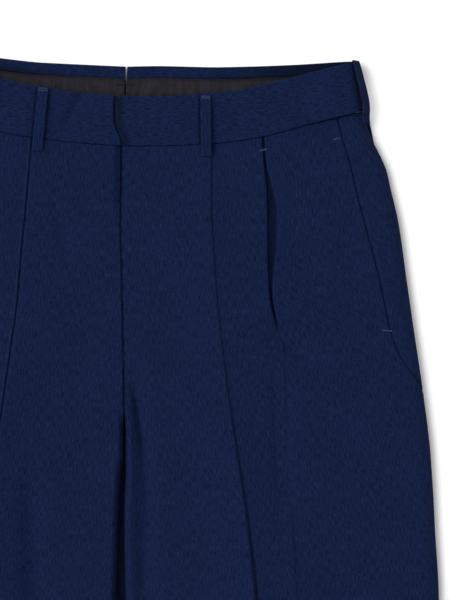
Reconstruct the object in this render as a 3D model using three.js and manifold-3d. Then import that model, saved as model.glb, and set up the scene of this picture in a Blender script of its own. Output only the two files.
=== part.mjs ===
// Pleated trousers lying flat on their back, front side up, legs straight down.
// Millimetres, +Z up, +Y towards the waist, +X towards the wearer's left leg.
//
// Every piece is worked out in the garment's own coordinates: u runs across from the centre line
// (positive on the wearer's left), v runs up from the fork, and z is the height above the surface.
// lay() then leans the part above the fork a little to one side, the way the garment lies.
import * as THREE from 'three';
import { mergeVertices } from 'three/addons/utils/BufferGeometryUtils.js';
import Module from 'manifold-3d';

// Cloth and seams
const CLOTH = 1.1; // wall of a panel
const BAND = 2.2; // waistband, two layers with interlining
const LINING = 1.0; // waistband curtain
const LOOP = 1.6; // belt loop, a folded strip
const SEAM = 0.3; // distance between two pieces that are sewn together

// Lengths along the garment, from the fork
const HEM = -765;
const FRONT_RISE = 302;
const WARP_FROM = 200; // above this the rows of a front panel bend to the waistband seam
const WARP_TO = 260; // the row that is the waistband seam at the centre front
const LEAN = THREE.MathUtils.degToRad(2.2) / FRONT_RISE; // turn gained for each mm above the fork

// Heights
const LOOP_LIFT = 1.6; // the belt loops under the back hold the waist this far off the surface
const LIFT_FROM = 215; // the back starts to rise here
const LIFT_TO = 262;
const BAND_TOP = 18; // outer face of the front waistband
const FOLD_WIDTH = 13; // how far in from the side the cloth starts to turn down
const FOLD_UNDER = 6; // how far it turns in again underneath
const FOLD_CENTRE = 6; // height of the widest point
const LEG_FOLD_WIDTH = 7; // the same at the inside of the leg
const BAND_FOLD = 11; // half width of the waistband's fold at the side
const BAND_MIDDLE = (BAND_TOP + LOOP_LIFT) / 2; // height of that fold's widest point
const BAND_HALF = (BAND_TOP - LOOP_LIFT) / 2;

// Pressed creases
const CREASE_REACH_IN = 62; // how far in from the crease the cloth starts to rise to it
const CREASE_REACH_OUT = 48;
const CREASE_SHARPNESS = 1.7;
const STEP_WIDTH = 4;
const SIDE_FALL = 0.2; // share of its height that the cloth loses towards the side
const SIDE_FALL_FROM = 20; // it starts this far out from the crease

// Fly and waistband overlap, wearer's left over right
const FLY_UNDERLAP = 14;
const FLY_UNDERLAP_FROM = 72; // the right front starts to run under the left one here
const FLY_UNDERLAP_TO = 92;
const FLY_DIP = 1.8;
const FLY_DIP_FROM = 20;
const FLY_DIP_TO = 52;
const LEGS_PART_FROM = 40; // below this the inner edges start to turn down inside the legs
const LEGS_PART_TO = -6;
const BAND_UNDERLAP = 25;
const BAND_DIP = 2.8;
const BAND_END_FOOT = 265; // rows where the waistband's front end starts and stops
const BAND_END_TOP = 301;
const DIP_START = 0.5;
const DIP_WIDTH = 6;

// Seat seam of the backs, and the split in the waistband above it
const SEAT_FORK = 1.7; // distance from the centre line at the fork
const SEAT_TOP = -1.5; // the same at the waistband
const SEAT_REACH = 60; // below the fork the left back's point runs in under the right leg
const SEAT_ASIDE = 8.7;
const SEAT_LEAVES_FROM = -150; // further down each back follows its own leg
const SEAT_LEAVES_TO = -300;
const BACK_INSIDE = 1.5; // a back ends this far inside the fold above it
const BACK_TOP_ROW = 285;
const WAIST_NARROWS = 11; // the back is cut to the side's line this far above its seam
const SPLIT = 0.55;
const SPLIT_FROM = 310;
const SPLIT_TO = 328;
const CURTAIN_SPLIT = 0.4;

// Pocket, curtain and belt loops
const FACING_UNDER = 16; // the facing runs this far under the pocket mouth
const FACING_FROM = 52; // lowest row of the facing
const FACING_CLEAR = 14; // it rises to the front's level only where the mouth is this far above
const FACING_RISE_FROM = 1; // it comes up between these distances out from the mouth
const FACING_RISE_TO = 9;
const CURTAIN_BELOW_TOP = 8.5;
const CURTAIN_HEIGHT = 48;
const CURTAIN_END = 182;
const LOOP_WIDTH = 9;
const LOOP_GAP = 0.6; // a front loop's ends stand this far clear of the waistband
const LOOP_STANDOFF = 2.4;
const SIDE_LOOP_ANGLE = 61; // degrees round the side fold, from its top, of a side loop's middle
const SIDE_LOOP_FOOT = [286, 299]; // rows where it steps down from the waistband to the facing
const BACK_LOOP_OUT = 62;
const BACK_LOOP_RISES = [-11, 0, 41]; // rows above the waistband seam

const COLOURS = { cloth: 0x142240, lining: 0x24222d };

// Smooth curve through a table: rows hold the value of `column` at each `key`, key rising
function curve(rows, column, key = 'v') {
  const x = rows.map((row) => row[key]);
  const y = rows.map((row) => row[column]);
  const slope = x.slice(1).map((_, i) => (y[i + 1] - y[i]) / (x[i + 1] - x[i]));
  const tangent = x.map((_, i) => {
    if (i === 0) return slope[0];
    if (i === x.length - 1) return slope[i - 1];
    const product = slope[i - 1] * slope[i];
    return product > 0 ? (2 * product) / (slope[i - 1] + slope[i]) : 0;
  });
  return (at) => {
    if (at <= x[0]) return y[0];
    if (at >= x[x.length - 1]) return y[y.length - 1];
    const i = x.findIndex((value) => value > at) - 1;
    const width = x[i + 1] - x[i];
    const t = (at - x[i]) / width;
    const rest = 1 - t;
    return (
      y[i] * rest * rest * (1 + 2 * t) +
      tangent[i] * width * t * rest * rest +
      y[i + 1] * t * t * (3 - 2 * t) -
      tangent[i + 1] * width * t * t * rest
    );
  };
}

// Outline of a leg and hip: the side fold, and the inner edge of each front, which is the fly
// above the fork and the inside of the leg below it
const OUTLINE = [
  { v: -765, side: 246, innerLeft: 18, innerRight: -14 },
  { v: -400, side: 263.5, innerLeft: 12, innerRight: -8 },
  { v: -220, side: 274, innerLeft: 8, innerRight: -4.5 },
  { v: -126, side: 273.4, innerLeft: 6.3, innerRight: -3 },
  { v: -65, side: 270, innerLeft: 5, innerRight: -1.3 },
  { v: -40, side: 268.8, innerLeft: 5.2, innerRight: -0.3 },
  { v: -20, side: 267.5, innerLeft: 6.6, innerRight: 1.4 },
  { v: 2, side: 265.9, innerLeft: 5.8, innerRight: 5.8 },
  { v: 53, side: 259.6, innerLeft: 4.9, innerRight: 4.9 },
  { v: 109, side: 251, innerLeft: 3.3, innerRight: 3.3 },
  { v: 151, side: 244.4, innerLeft: 1.8, innerRight: 1.8 },
  { v: 200, side: 236.6, innerLeft: 0.3, innerRight: 0.3 },
  { v: 229, side: 229.4, innerLeft: 0, innerRight: 0 },
  { v: 248, side: 224.4, innerLeft: -0.3, innerRight: -0.3 },
  { v: 262, side: 217.7, innerLeft: -0.9, innerRight: -0.9 },
  { v: 281, side: 208.2, innerLeft: -7.6, innerRight: -7.6 },
  { v: 297, side: 204.2, innerLeft: -8.2, innerRight: -8.2 },
  { v: 340, side: 195.6, innerLeft: -8.4, innerRight: -8.4 },
];
const side = curve(OUTLINE, 'side');

// Seams and edges across the waist, by distance from the centre
const WAIST = [
  { u: 0, frontSeam: 259.9, frontTop: 302.5, backSeam: 285.5, backTop: 328 },
  { u: 30, frontSeam: 261, frontTop: 303.4, backSeam: 286, backTop: 329.5 },
  { u: 72, frontSeam: 264, frontTop: 308, backSeam: 287.5, backTop: 330.6 },
  { u: 98, frontSeam: 267.5, frontTop: 311.8, backSeam: 289, backTop: 332.2 },
  { u: 126, frontSeam: 274, frontTop: 319.4, backSeam: 291, backTop: 334.3 },
  { u: 153, frontSeam: 282.7, frontTop: 327.6, backSeam: 293, backTop: 336.9 },
  { u: 180, frontSeam: 290.6, frontTop: 336.5, backSeam: 295.5, backTop: 339 },
  { u: 202, frontSeam: 297.4, frontTop: 340, backSeam: 297.4, backTop: 340 },
];
const frontSeam = curve(WAIST, 'frontSeam', 'u');
const frontTop = curve(WAIST, 'frontTop', 'u');
const backSeam = curve(WAIST, 'backSeam', 'u');
const backTop = curve(WAIST, 'backTop', 'u');

// How the front lies, row by row: the height of its cloth, the pressed crease with the distance
// from the centre on each leg, its rise and the step down on its outer side
const LIE = [
  { v: -765, height: 11, creaseLeft: 130, creaseRight: 128, rise: 7, step: 3 },
  { v: -400, height: 14, creaseLeft: 131, creaseRight: 131, rise: 7.5, step: 3 },
  { v: -220, height: 16, creaseLeft: 124, creaseRight: 125, rise: 7.5, step: 3 },
  { v: -119, height: 17, creaseLeft: 116.5, creaseRight: 118, rise: 7, step: 3 },
  { v: -48, height: 17.5, creaseLeft: 108.3, creaseRight: 110.5, rise: 5.5, step: 2.4 },
  { v: 3, height: 18, creaseLeft: 100.3, creaseRight: 103.5, rise: 4.5, step: 2 },
  { v: 45, height: 18, creaseLeft: 94, creaseRight: 97.5, rise: 3.8, step: 1.8 },
  { v: 96, height: 18, creaseLeft: 87, creaseRight: 90.5, rise: 3, step: 1.6 },
  { v: 127, height: 18, creaseLeft: 83.1, creaseRight: 86.6, rise: 2.6, step: 1.5 },
  { v: 168, height: 17.6, creaseLeft: 79.6, creaseRight: 84, rise: 2.2, step: 1.4 },
  { v: 209, height: 17.2, creaseLeft: 76.4, creaseRight: 81, rise: 1.6, step: 1.3 },
  { v: 259, height: 17, creaseLeft: 74.8, creaseRight: 78, rise: 1.1, step: 1.1 },
];
const clothHeight = curve(LIE, 'height');
const creaseRise = curve(LIE, 'rise');
const creaseStep = curve(LIE, 'step');

// The second pleat folds towards the side: where its edge lies, how deep the cloth goes under,
// how far it is turned (1 is folded right back), how wide the recess beside it stands open and
// how far that drops below the fold
const PLEAT = [
  { v: -765, edge: 160, depth: 0, turn: 0, recess: 9, drop: 0 },
  { v: -300, edge: 152, depth: 0, turn: 0, recess: 9, drop: 0 },
  { v: 0, edge: 136, depth: 0, turn: 0, recess: 9, drop: 0 },
  { v: 92, edge: 131.5, depth: 0, turn: 0, recess: 9, drop: 0 },
  { v: 105, edge: 131, depth: 0.4, turn: 0.12, recess: 6.5, drop: 0.3 },
  { v: 118, edge: 129.3, depth: 1.6, turn: 0.5, recess: 4.6, drop: 1.2 },
  { v: 132, edge: 127.5, depth: 3.2, turn: 0.85, recess: 3.6, drop: 2.2 },
  { v: 145, edge: 126.2, depth: 5, turn: 1, recess: 4.4, drop: 3.2 },
  { v: 160, edge: 125.2, depth: 6.5, turn: 1, recess: 6, drop: 4 },
  { v: 183, edge: 124.4, depth: 8, turn: 1, recess: 8.6, drop: 4.2 },
  { v: 205, edge: 123.7, depth: 9.2, turn: 1, recess: 9, drop: 4 },
  { v: 220, edge: 123.2, depth: 10, turn: 1, recess: 7.6, drop: 3.6 },
  { v: 231, edge: 122.5, depth: 10.6, turn: 1, recess: 5, drop: 2.8 },
  { v: 245, edge: 120.6, depth: 11.3, turn: 1, recess: 2.8, drop: 1.2 },
  { v: 260, edge: 119, depth: 12, turn: 1, recess: 2.2, drop: 0.2 },
  { v: 275, edge: 117.4, depth: 12, turn: 1, recess: 2.2, drop: 0 },
];
const pleatEdge = curve(PLEAT, 'edge');
const pleatDepth = curve(PLEAT, 'depth');
const pleatTurn = curve(PLEAT, 'turn');
const pleatRecess = curve(PLEAT, 'recess');
const pleatDrop = curve(PLEAT, 'drop');
const PLEAT_RADIUS = 1.35;
const PLEAT_INNER_RADIUS = 0.25;
const PLEAT_BENDS = [22.5, 67.5, 112.5, 157.5]; // degrees turned by each piece of the fold
const PLEAT_INNER_BENDS = [140, 60];
const LEAST_UNDER = 0.3; // length of the part under the fold where there is none

// How the cloth comes up again beside the pleat: share of the way across and of the height
const RECESS = [{ t: 0.2, up: 0 }, { t: 0.72, up: 0.05 }, { t: 0.89, up: 0.5 }, { t: 1, up: 1 }];

// Slant pocket mouth, which runs on as the side seam below its lower end
const MOUTH = [
  { v: 34, u: 265 },
  { v: 52, u: 260 },
  { v: 72, u: 247 },
  { v: 85, u: 238.5 },
  { v: 105, u: 230.5 },
  { v: 133, u: 224.2 },
  { v: 161, u: 217.7 },
  { v: 184, u: 211.2 },
  { v: 210, u: 203.8 },
  { v: 230, u: 198.2 },
  { v: 249, u: 193.3 },
  { v: 269, u: 186.8 },
  { v: 289, u: 181 },
  { v: 310, u: 175 },
];
const mouth = curve(MOUTH, 'u');

// Soft hollows pressed or fallen into the front, from one end to the other
const HOLLOWS = [
  { leg: 'left', u: 16, v: 56, toU: 21, toV: -210, width: 6, depth: 4 },
  { leg: 'left', u: 126, v: 98, toU: 166, toV: 82, width: 7, depth: 2 },
  { leg: 'left', u: 138, v: 84, toU: 140, toV: -60, width: 9, depth: 1.4 },
  { leg: 'right', u: 74, v: 0, toU: 70, toV: -260, width: 12, depth: 3 },
  { leg: 'right', u: 34, v: 216, toU: 52, toV: 120, width: 10, depth: 1.2 },
  { leg: 'right', u: 128, v: 98, toU: 160, toV: 76, width: 8, depth: 1.8 },
  { leg: 'right', u: 140, v: 70, toU: 143, toV: -80, width: 9, depth: 1.6 },
];
const HOLLOW_IN = 0.25; // shares of a hollow's length over which it deepens and fades out
const HOLLOW_OUT = 0.6;

const LEGS = {
  left: { name: 'left', sign: 1, crease: curve(LIE, 'creaseLeft'), inner: curve(OUTLINE, 'innerLeft') },
  right: { name: 'right', sign: -1, crease: curve(LIE, 'creaseRight'), inner: curve(OUTLINE, 'innerRight') },
};

const { clamp, lerp, smoothstep, degToRad } = THREE.MathUtils;

// Garment coordinates to the place where that point lies
function lay(u, v, z) {
  const turn = LEAN * Math.max(v, 0);
  const along = v > 0 ? Math.sin(turn) / LEAN : v;
  const aside = v > 0 ? (1 - Math.cos(turn)) / LEAN : 0;
  return new THREE.Vector3(aside + u * Math.cos(turn), along - u * Math.sin(turn), z);
}

// How far the back is held off the surface by the belt loops under it
function floorLift(v) {
  return LOOP_LIFT * smoothstep(v, LIFT_FROM, LIFT_TO);
}

// Height of a seam that rests on the back panel
function seamHeight(v) {
  return floorLift(v) + CLOTH + SEAM;
}

// Distance outwards of the front's inner edge on its own side of the centre
function innerEdge(leg, v) {
  return leg.sign * leg.inner(v) + SEAM / 2;
}

// Depth of the hollows at a point
function hollow(leg, out, v) {
  return HOLLOWS.filter((row) => row.leg === leg.name).reduce((depth, row) => {
    const du = row.toU - row.u;
    const dv = row.toV - row.v;
    const along = ((out - row.u) * du + (v - row.v) * dv) / (du * du + dv * dv);
    const t = clamp(along, 0, 1);
    const distance = Math.hypot(out - row.u - t * du, v - row.v - t * dv);
    const fade = smoothstep(t, 0, HOLLOW_IN) * (1 - smoothstep(t, HOLLOW_OUT, 1));
    return depth + row.depth * fade * Math.exp(-((distance / row.width) ** 2));
  }, 0);
}

// Height of the front's outer face between its edges
function frontHeight(leg, out, v) {
  const crease = leg.crease(v);
  const reach = out < crease ? CREASE_REACH_IN : CREASE_REACH_OUT;
  const near = Math.max(0, 1 - Math.abs(out - crease) / reach) ** CREASE_SHARPNESS;
  const step = creaseStep(v) * smoothstep(out - crease, 0, STEP_WIDTH);
  const fall = 1 - SIDE_FALL * smoothstep(out, crease + SIDE_FALL_FROM, side(v));
  return clothHeight(v) * fall + creaseRise(v) * near - step * near - hollow(leg, out, v);
}

// Row position w along the garment to v: above WARP_FROM the rows bend up to the waistband seam
function rowHeight(w, out) {
  if (w <= WARP_FROM) return w;
  const share = (w - WARP_FROM) / (WARP_TO - WARP_FROM);
  return WARP_FROM + share * (frontSeam(Math.abs(out)) - SEAM / 2 - WARP_FROM);
}

// v where row w meets a line across the garment given by out(v)
function meet(w, out) {
  let v = Math.min(w, WARP_FROM);
  for (let i = 0; i < 8; i += 1) v = rowHeight(w, out(v));
  return v;
}

// Points of the folded pleat in one section, from the cloth before it to the cloth after it
function pleatSection(height, v) {
  const turn = pleatTurn(v);
  const depth = pleatDepth(v);
  const end = pleatEdge(v) + pleatRecess(v);
  const points = [{ out: pleatEdge(v) - PLEAT_RADIUS, z: height(pleatEdge(v)) }];
  const go = (length, degrees) => {
    const last = points[points.length - 1];
    const heading = degToRad(degrees * turn);
    points.push({ out: last.out + length * Math.cos(heading), z: last.z - length * Math.sin(heading) });
  };
  PLEAT_BENDS.forEach((degrees) => go((Math.PI * PLEAT_RADIUS) / PLEAT_BENDS.length, degrees));
  go(Math.max(depth, LEAST_UNDER), 180);
  PLEAT_INNER_BENDS.forEach((degrees) => go((Math.PI * PLEAT_INNER_RADIUS) / 2, degrees));
  const last = points[points.length - 1];
  const lip = Math.max(last.out, pleatEdge(v));
  const foot = last.z - pleatDrop(v);
  const hidden = lerp(last.out, lerp(lip, end, RECESS[0].t), 0.6);
  points.push({ out: hidden, z: lerp(last.z, foot, 0.5) });
  RECESS.forEach(({ t, up }) => points.push({ out: lerp(lip, end, t), z: lerp(foot, height(end), up) }));
  return points;
}

// Degrees by which the front has turned down at the side and in again to the seam with the back
const SIDE_TURNS = [0, 28, 52, 72, 90, 118, 150];

// Points of that fold
function sideSection(height, v) {
  const edge = side(v);
  const top = height(edge - FOLD_WIDTH);
  return SIDE_TURNS.map((degrees) => foldPoint(edge, -1, degrees, FOLD_WIDTH, top, v));
}

// A point of a fold whose widest place is `edge`; inwards is -1 at the side and 1 inside the leg
function foldPoint(edge, inwards, degrees, width, top, v) {
  const angle = degToRad(degrees);
  const last = degToRad(SIDE_TURNS[SIDE_TURNS.length - 1]);
  const over = degrees <= 90;
  const reach = (over ? width : FOLD_UNDER) * (1 - Math.sin(angle));
  const rise = over
    ? (top - FOLD_CENTRE) * Math.cos(angle)
    : ((FOLD_CENTRE - seamHeight(v)) * Math.cos(angle)) / -Math.cos(last);
  return { out: edge + inwards * reach, z: FOLD_CENTRE + rise };
}

// Points of the front at its inner edge: flat to the fly above the fork, turned down below it
function innerSection(leg, height, v) {
  const edge = innerEdge(leg, v);
  const closed = smoothstep(v, LEGS_PART_TO, LEGS_PART_FROM);
  const lapped = leg.name === 'right' ? 1 : 0;
  const under = lapped * FLY_UNDERLAP * smoothstep(v, FLY_UNDERLAP_FROM, FLY_UNDERLAP_TO);
  const dipped = lapped * FLY_DIP * smoothstep(v, FLY_DIP_FROM, FLY_DIP_TO);
  const turns = [...SIDE_TURNS].reverse();
  return turns.map((degrees, i) => {
    const legPoint = foldPoint(edge, 1, degrees, LEG_FOLD_WIDTH, height(edge + LEG_FOLD_WIDTH), v);
    const out = edge - under + ((LEG_FOLD_WIDTH + under) * i) / (turns.length - 1);
    const dip = dipped * (1 - smoothstep(out - edge, DIP_START, DIP_WIDTH));
    const flatZ = height(Math.max(out, edge)) - dip;
    return { out: lerp(legPoint.out, out, closed), z: lerp(legPoint.z, flatZ, closed) };
  });
}

// Evenly placed points of the front strictly between two distances
function plainSection(height, from, to, count) {
  return Array.from({ length: count }, (_, i) => {
    const out = lerp(from, to, (i + 1) / (count + 1));
    return { out, z: height(out) };
  });
}

// Points of a section beside the crease, and how many lie on the plain stretches between blocks
const CREASE_OFFSETS = [-5, -1.5, 0, 1.2, 4, 9];
const PLAIN_POINTS = { inner: 4, middle: 2, outer: 5 };

// One whole section of a front panel, from its inner edge to the seam with the back
function frontSection(leg, w) {
  const v = {
    inner: meet(w, (at) => leg.sign * leg.inner(at)),
    crease: meet(w, (at) => leg.crease(at)),
    pleat: meet(w, (at) => pleatEdge(at)),
    side: meet(w, side),
  };
  const heightAt = (at) => (out) => frontHeight(leg, out, at);
  const inner = innerSection(leg, heightAt(v.inner), v.inner);
  const creaseOut = leg.crease(v.crease);
  const crease = CREASE_OFFSETS.map((offset) => ({
    out: creaseOut + offset,
    z: frontHeight(leg, creaseOut + offset, v.crease),
  }));
  const pleat = pleatSection(heightAt(v.pleat), v.pleat);
  const turned = sideSection(heightAt(v.side), v.side);
  const last = (points) => points[points.length - 1].out;
  const points = [
    ...inner,
    ...plainSection(heightAt(v.inner), last(inner), crease[0].out, PLAIN_POINTS.inner),
    ...crease,
    ...plainSection(heightAt(v.crease), last(crease), pleat[0].out, PLAIN_POINTS.middle),
    ...pleat,
    ...plainSection(heightAt(v.side), last(pleat), turned[0].out, PLAIN_POINTS.outer),
    ...turned,
  ];
  return points.map((point) => ({ ...point, v: rowHeight(w, point.out) }));
}

// Moves a section's points in from its outer face by a thickness, along the section's normals
function inset(points, thickness) {
  return points.map((point, i) => {
    const before = points[Math.max(i - 1, 0)];
    const after = points[Math.min(i + 1, points.length - 1)];
    const into = new THREE.Vector2(point.out - before.out, point.z - before.z).normalize();
    const away = new THREE.Vector2(after.out - point.out, after.z - point.z).normalize();
    const along = into.clone().add(away).normalize();
    const cosine = Math.max(along.dot(i > 0 ? into : away), 0.7);
    const distance = thickness / cosine;
    return { ...point, out: point.out + along.y * distance, z: point.z - along.x * distance };
  });
}

// Closed wall between two grids of points, outer[row][column] and inner[row][column]
function wall(outer, inner) {
  const rows = outer.length;
  const columns = outer[0].length;
  const positions = [...outer.flat(), ...inner.flat()].flatMap((point) => point.toArray());
  const at = (layer, row, column) => layer * rows * columns + row * columns + column;
  const index = [];
  const quad = (a, b, c, d) => index.push(a, b, c, a, c, d);
  for (let i = 0; i < rows - 1; i += 1) {
    for (let j = 0; j < columns - 1; j += 1) {
      quad(at(0, i, j), at(0, i, j + 1), at(0, i + 1, j + 1), at(0, i + 1, j));
      quad(at(1, i, j), at(1, i + 1, j), at(1, i + 1, j + 1), at(1, i, j + 1));
    }
  }
  for (let j = 0; j < columns - 1; j += 1) {
    quad(at(1, 0, j), at(1, 0, j + 1), at(0, 0, j + 1), at(0, 0, j));
    quad(at(0, rows - 1, j), at(0, rows - 1, j + 1), at(1, rows - 1, j + 1), at(1, rows - 1, j));
  }
  for (let i = 0; i < rows - 1; i += 1) {
    quad(at(0, i, 0), at(0, i + 1, 0), at(1, i + 1, 0), at(1, i, 0));
    quad(at(1, i, columns - 1), at(1, i + 1, columns - 1), at(0, i + 1, columns - 1), at(0, i, columns - 1));
  }
  const geometry = new THREE.BufferGeometry();
  geometry.setAttribute('position', new THREE.Float32BufferAttribute(positions, 3));
  geometry.setIndex(volume(positions, index) < 0 ? index.reverse() : index);
  return geometry;
}

// Signed volume, negative where the faces point inwards
function volume(positions, index) {
  const point = (i) => new THREE.Vector3().fromArray(positions, 3 * i);
  let total = 0;
  for (let i = 0; i < index.length; i += 3) {
    const [a, b, c] = [point(index[i]), point(index[i + 1]), point(index[i + 2])];
    total += a.dot(b.cross(c)) / 6;
  }
  return total;
}

// Wall of the given thickness on sections of {out, v, z} points of one leg
function sectionWall(leg, sections, thickness) {
  const place = (points) => points.map((point) => lay(leg.sign * point.out, point.v, point.z));
  return wall(sections.map(place), sections.map((points) => place(inset(points, thickness))));
}

const wasm = await Module();
wasm.setup();

function toSolid(geometry) {
  const bare = geometry.clone();
  bare.deleteAttribute('normal');
  bare.deleteAttribute('uv');
  const merged = mergeVertices(bare, 1e-4);
  return new wasm.Manifold(
    new wasm.Mesh({
      numProp: 3,
      vertProperties: new Float32Array(merged.attributes.position.array),
      triVerts: new Uint32Array(merged.index.array),
    }),
  );
}

function fromSolid(solid) {
  const mesh = solid.getMesh();
  const geometry = new THREE.BufferGeometry();
  geometry.setAttribute('position', new THREE.BufferAttribute(mesh.vertProperties, 3));
  geometry.setIndex(new THREE.BufferAttribute(mesh.triVerts, 1));
  return geometry;
}

// Rows of a front panel, closer together where the pleats, pocket and fork are
const FRONT_ROWS = [
  HEM, -758, -620, -480, -350, -250, -180, -126, -88, -56, -32, -14, -4, 6, 18, 34, 52, 72, 92,
  105, 118, 132, 145, 160, 176, 192, 206, 218, 230, 241, 250, WARP_TO,
];

// What is cut away outside the pocket mouth, as a block through the front
function pocketCut(leg) {
  const outside = 300;
  const line = MOUTH.map((row) => lay(leg.sign * row.u, row.v, 0));
  const shape = new THREE.Shape([
    ...line,
    lay(leg.sign * outside, MOUTH[MOUTH.length - 1].v, 0),
    lay(leg.sign * outside, MOUTH[0].v, 0),
  ]);
  return new THREE.ExtrudeGeometry(shape, { depth: 60, bevelEnabled: false }).translate(0, 0, -10);
}

function front(leg) {
  const panel = sectionWall(leg, FRONT_ROWS.map((w) => frontSection(leg, w)), CLOTH);
  return fromSolid(toSolid(panel).subtract(toSolid(pocketCut(leg))));
}

// The facing shows between the pocket mouth and the side, and drops under the front at the mouth
function pocketFacing(leg) {
  const sections = FRONT_ROWS.filter((w) => w >= FACING_FROM).map((w) => {
    const v = meet(w, side);
    const height = (out) => frontHeight(leg, out, v);
    const turned = sideSection(height, v);
    const mouthOut = mouth(meet(w, mouth) - FACING_CLEAR);
    const from = Math.min(mouthOut, turned[0].out) - FACING_UNDER;
    const flat = [0, 0.35, 0.7].map((t) => {
      const out = lerp(from, turned[0].out, t);
      return { out, z: height(out) };
    });
    const points = [...flat, ...turned].map((point) => ({ ...point, v: rowHeight(w, point.out) }));
    const under = inset(points, CLOTH + 2 * SEAM);
    return points.map((point, i) => {
      const share = 1 - smoothstep(point.out - mouthOut, FACING_RISE_FROM, FACING_RISE_TO);
      const deep = under[i];
      return { ...point, out: lerp(point.out, deep.out, share), z: lerp(point.z, deep.z, share) };
    });
  });
  return sectionWall(leg, sections, CLOTH);
}

// Place across of the seam between the backs: below the fork it runs in under the right leg
function seatLine(v) {
  const above = lerp(SEAT_FORK, SEAT_TOP, smoothstep(v, 0, BACK_TOP_ROW));
  return above - SEAT_ASIDE * smoothstep(-v, 0, SEAT_REACH);
}

const BACK_ROWS = [...FRONT_ROWS.filter((w) => w < 210), LIFT_FROM, 226, 238, 250, LIFT_TO, BACK_TOP_ROW];
const BACK_COLUMNS = [0, 0.2, 0.4, 0.6, 0.8, 1];

// The back lies flat under the front, out to the side and in to the seam of the seat
function back(leg) {
  const sections = BACK_ROWS.map((w, row) => {
    const seat = leg.sign * seatLine(w) + SEAM / 2;
    const together = smoothstep(w, SEAT_LEAVES_TO, SEAT_LEAVES_FROM);
    const inside = lerp(innerEdge(leg, w) + BACK_INSIDE, seat, together);
    return BACK_COLUMNS.map((share) => {
      const atSeam = row === BACK_ROWS.length - 1;
      const sideRow = atSeam ? backSeam(0) + WAIST_NARROWS : w;
      const out = lerp(inside, side(sideRow) - BACK_INSIDE, share);
      const v = atSeam ? backSeam(out) - SEAM / 2 : w;
      return { out, v, z: floorLift(v) + CLOTH };
    });
  });
  return sectionWall(leg, sections, CLOTH);
}

// Height of the front waistband, dipped where it passes under the other half
function bandHeight(leg, out) {
  if (leg.name === 'left') return BAND_TOP;
  const edge = innerEdge(leg, FRONT_RISE);
  return BAND_TOP - BAND_DIP * (1 - smoothstep(out - edge, DIP_START, DIP_WIDTH + 2));
}

const BAND_ROWS = [0, 0.5, 1];
const BAND_STEPS = [0, 4, 8, 12, 16, 20, 24, 28, 32, 36, 48, 72, 96, 120, 144, 168];
const BAND_LAST_STEP = 6; // the least distance from the last step to the fold
const BAND_TURNS = [15, 35, 55, 75, 90, 105, 125, 145, 165];
const BACK_SHARES = [1, 0.8, 0.6, 0.4, 0.2, 0];

// One half of the waistband, from the fly round the side fold to the centre back
function waistband(leg) {
  const lap = leg.name === 'right' ? BAND_UNDERLAP : 0;
  const sections = BAND_ROWS.map((share) => {
    const across = (low, high) => (out) => lerp(low(out) + SEAM / 2, high(out), share);
    const onFront = across(frontSeam, frontTop);
    const onBack = across(backSeam, backTop);
    const sideHeight = onFront(WAIST[WAIST.length - 1].u);
    const turn = side(sideHeight) - BAND_FOLD;
    const frontEnd = innerEdge(leg, lerp(BAND_END_FOOT, BAND_END_TOP, share)) - lap;
    const split = SEAM / 2 + SPLIT * smoothstep(onBack(0), SPLIT_FROM, SPLIT_TO);
    const places = BAND_STEPS.map((step) => frontEnd + step).filter((out) => out < turn - BAND_LAST_STEP);
    const frontPoints = [...places, turn].map((out) => ({
      out,
      v: onFront(Math.abs(out)),
      z: bandHeight(leg, out),
    }));
    const foldPoints = BAND_TURNS.map((degrees) => {
      const angle = degToRad(degrees);
      const out = turn + BAND_FOLD * Math.sin(angle);
      const v = lerp(onFront(out), onBack(out), smoothstep(degrees, 0, 180));
      return { out, v, z: BAND_MIDDLE + BAND_HALF * Math.cos(angle) };
    });
    const backPoints = BACK_SHARES.map((along) => {
      const out = lerp(split, turn, along);
      return { out, v: onBack(out), z: LOOP_LIFT };
    });
    return [...frontPoints, ...foldPoints, ...backPoints];
  });
  return sectionWall(leg, sections, BAND);
}

// The curtain inside the back of the waistband
function curtain(leg) {
  const rows = [1, 0.5, 0].map((down) =>
    [0, 0.25, 0.5, 0.75, 1].map((share) => {
      const split = SEAM / 2 + (down < 0.5 ? CURTAIN_SPLIT : 0);
      const out = lerp(split, CURTAIN_END, share);
      const v = backTop(out) - CURTAIN_BELOW_TOP - CURTAIN_HEIGHT * down;
      return { out, v, z: LOOP_LIFT + BAND + SEAM + LINING };
    }),
  );
  return sectionWall(leg, rows, LINING);
}

// A belt loop as a strip: along its length {across, v, z} at the middle of its lower face, raised
// by the loop's thickness along `up`, LOOP_WIDTH wide along `wide`
function strip(path, wide, up) {
  const layer = (raise) =>
    path.map(({ u, v, z }) =>
      [-0.5, 0, 0.5].map((share) => {
        const spread = share * LOOP_WIDTH;
        const pointU = u + wide.u * spread + up.u * raise;
        return lay(pointU, v, z + wide.z * spread + up.z * raise);
      }),
    );
  return wall(layer(LOOP), layer(0));
}

const LOOP_STEPS = [0, 0.08, 0.2, 0.35, 0.5, 0.65, 0.8, 0.92, 1];

// Where each front loop is sewn on
const FRONT_LOOPS = {
  left: { top: { out: 68.7, v: 305.5 }, foot: { out: 71.3, v: 253.2 } },
  right: { top: { out: 69.7, v: 307 }, foot: { out: 73.1, v: 253.3 } },
};

function frontLoop(leg) {
  const { top, foot } = FRONT_LOOPS[leg.name];
  const path = LOOP_STEPS.map((t) => {
    const out = lerp(top.out, foot.out, t);
    const v = lerp(top.v, foot.v, t);
    const bulge = LOOP_STANDOFF * Math.sin(Math.PI * t) ** 0.7;
    return { u: leg.sign * out, v, z: BAND_TOP + LOOP_GAP + bulge };
  });
  return strip(path, { u: 1, z: 0 }, { u: 0, z: 1 });
}

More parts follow.
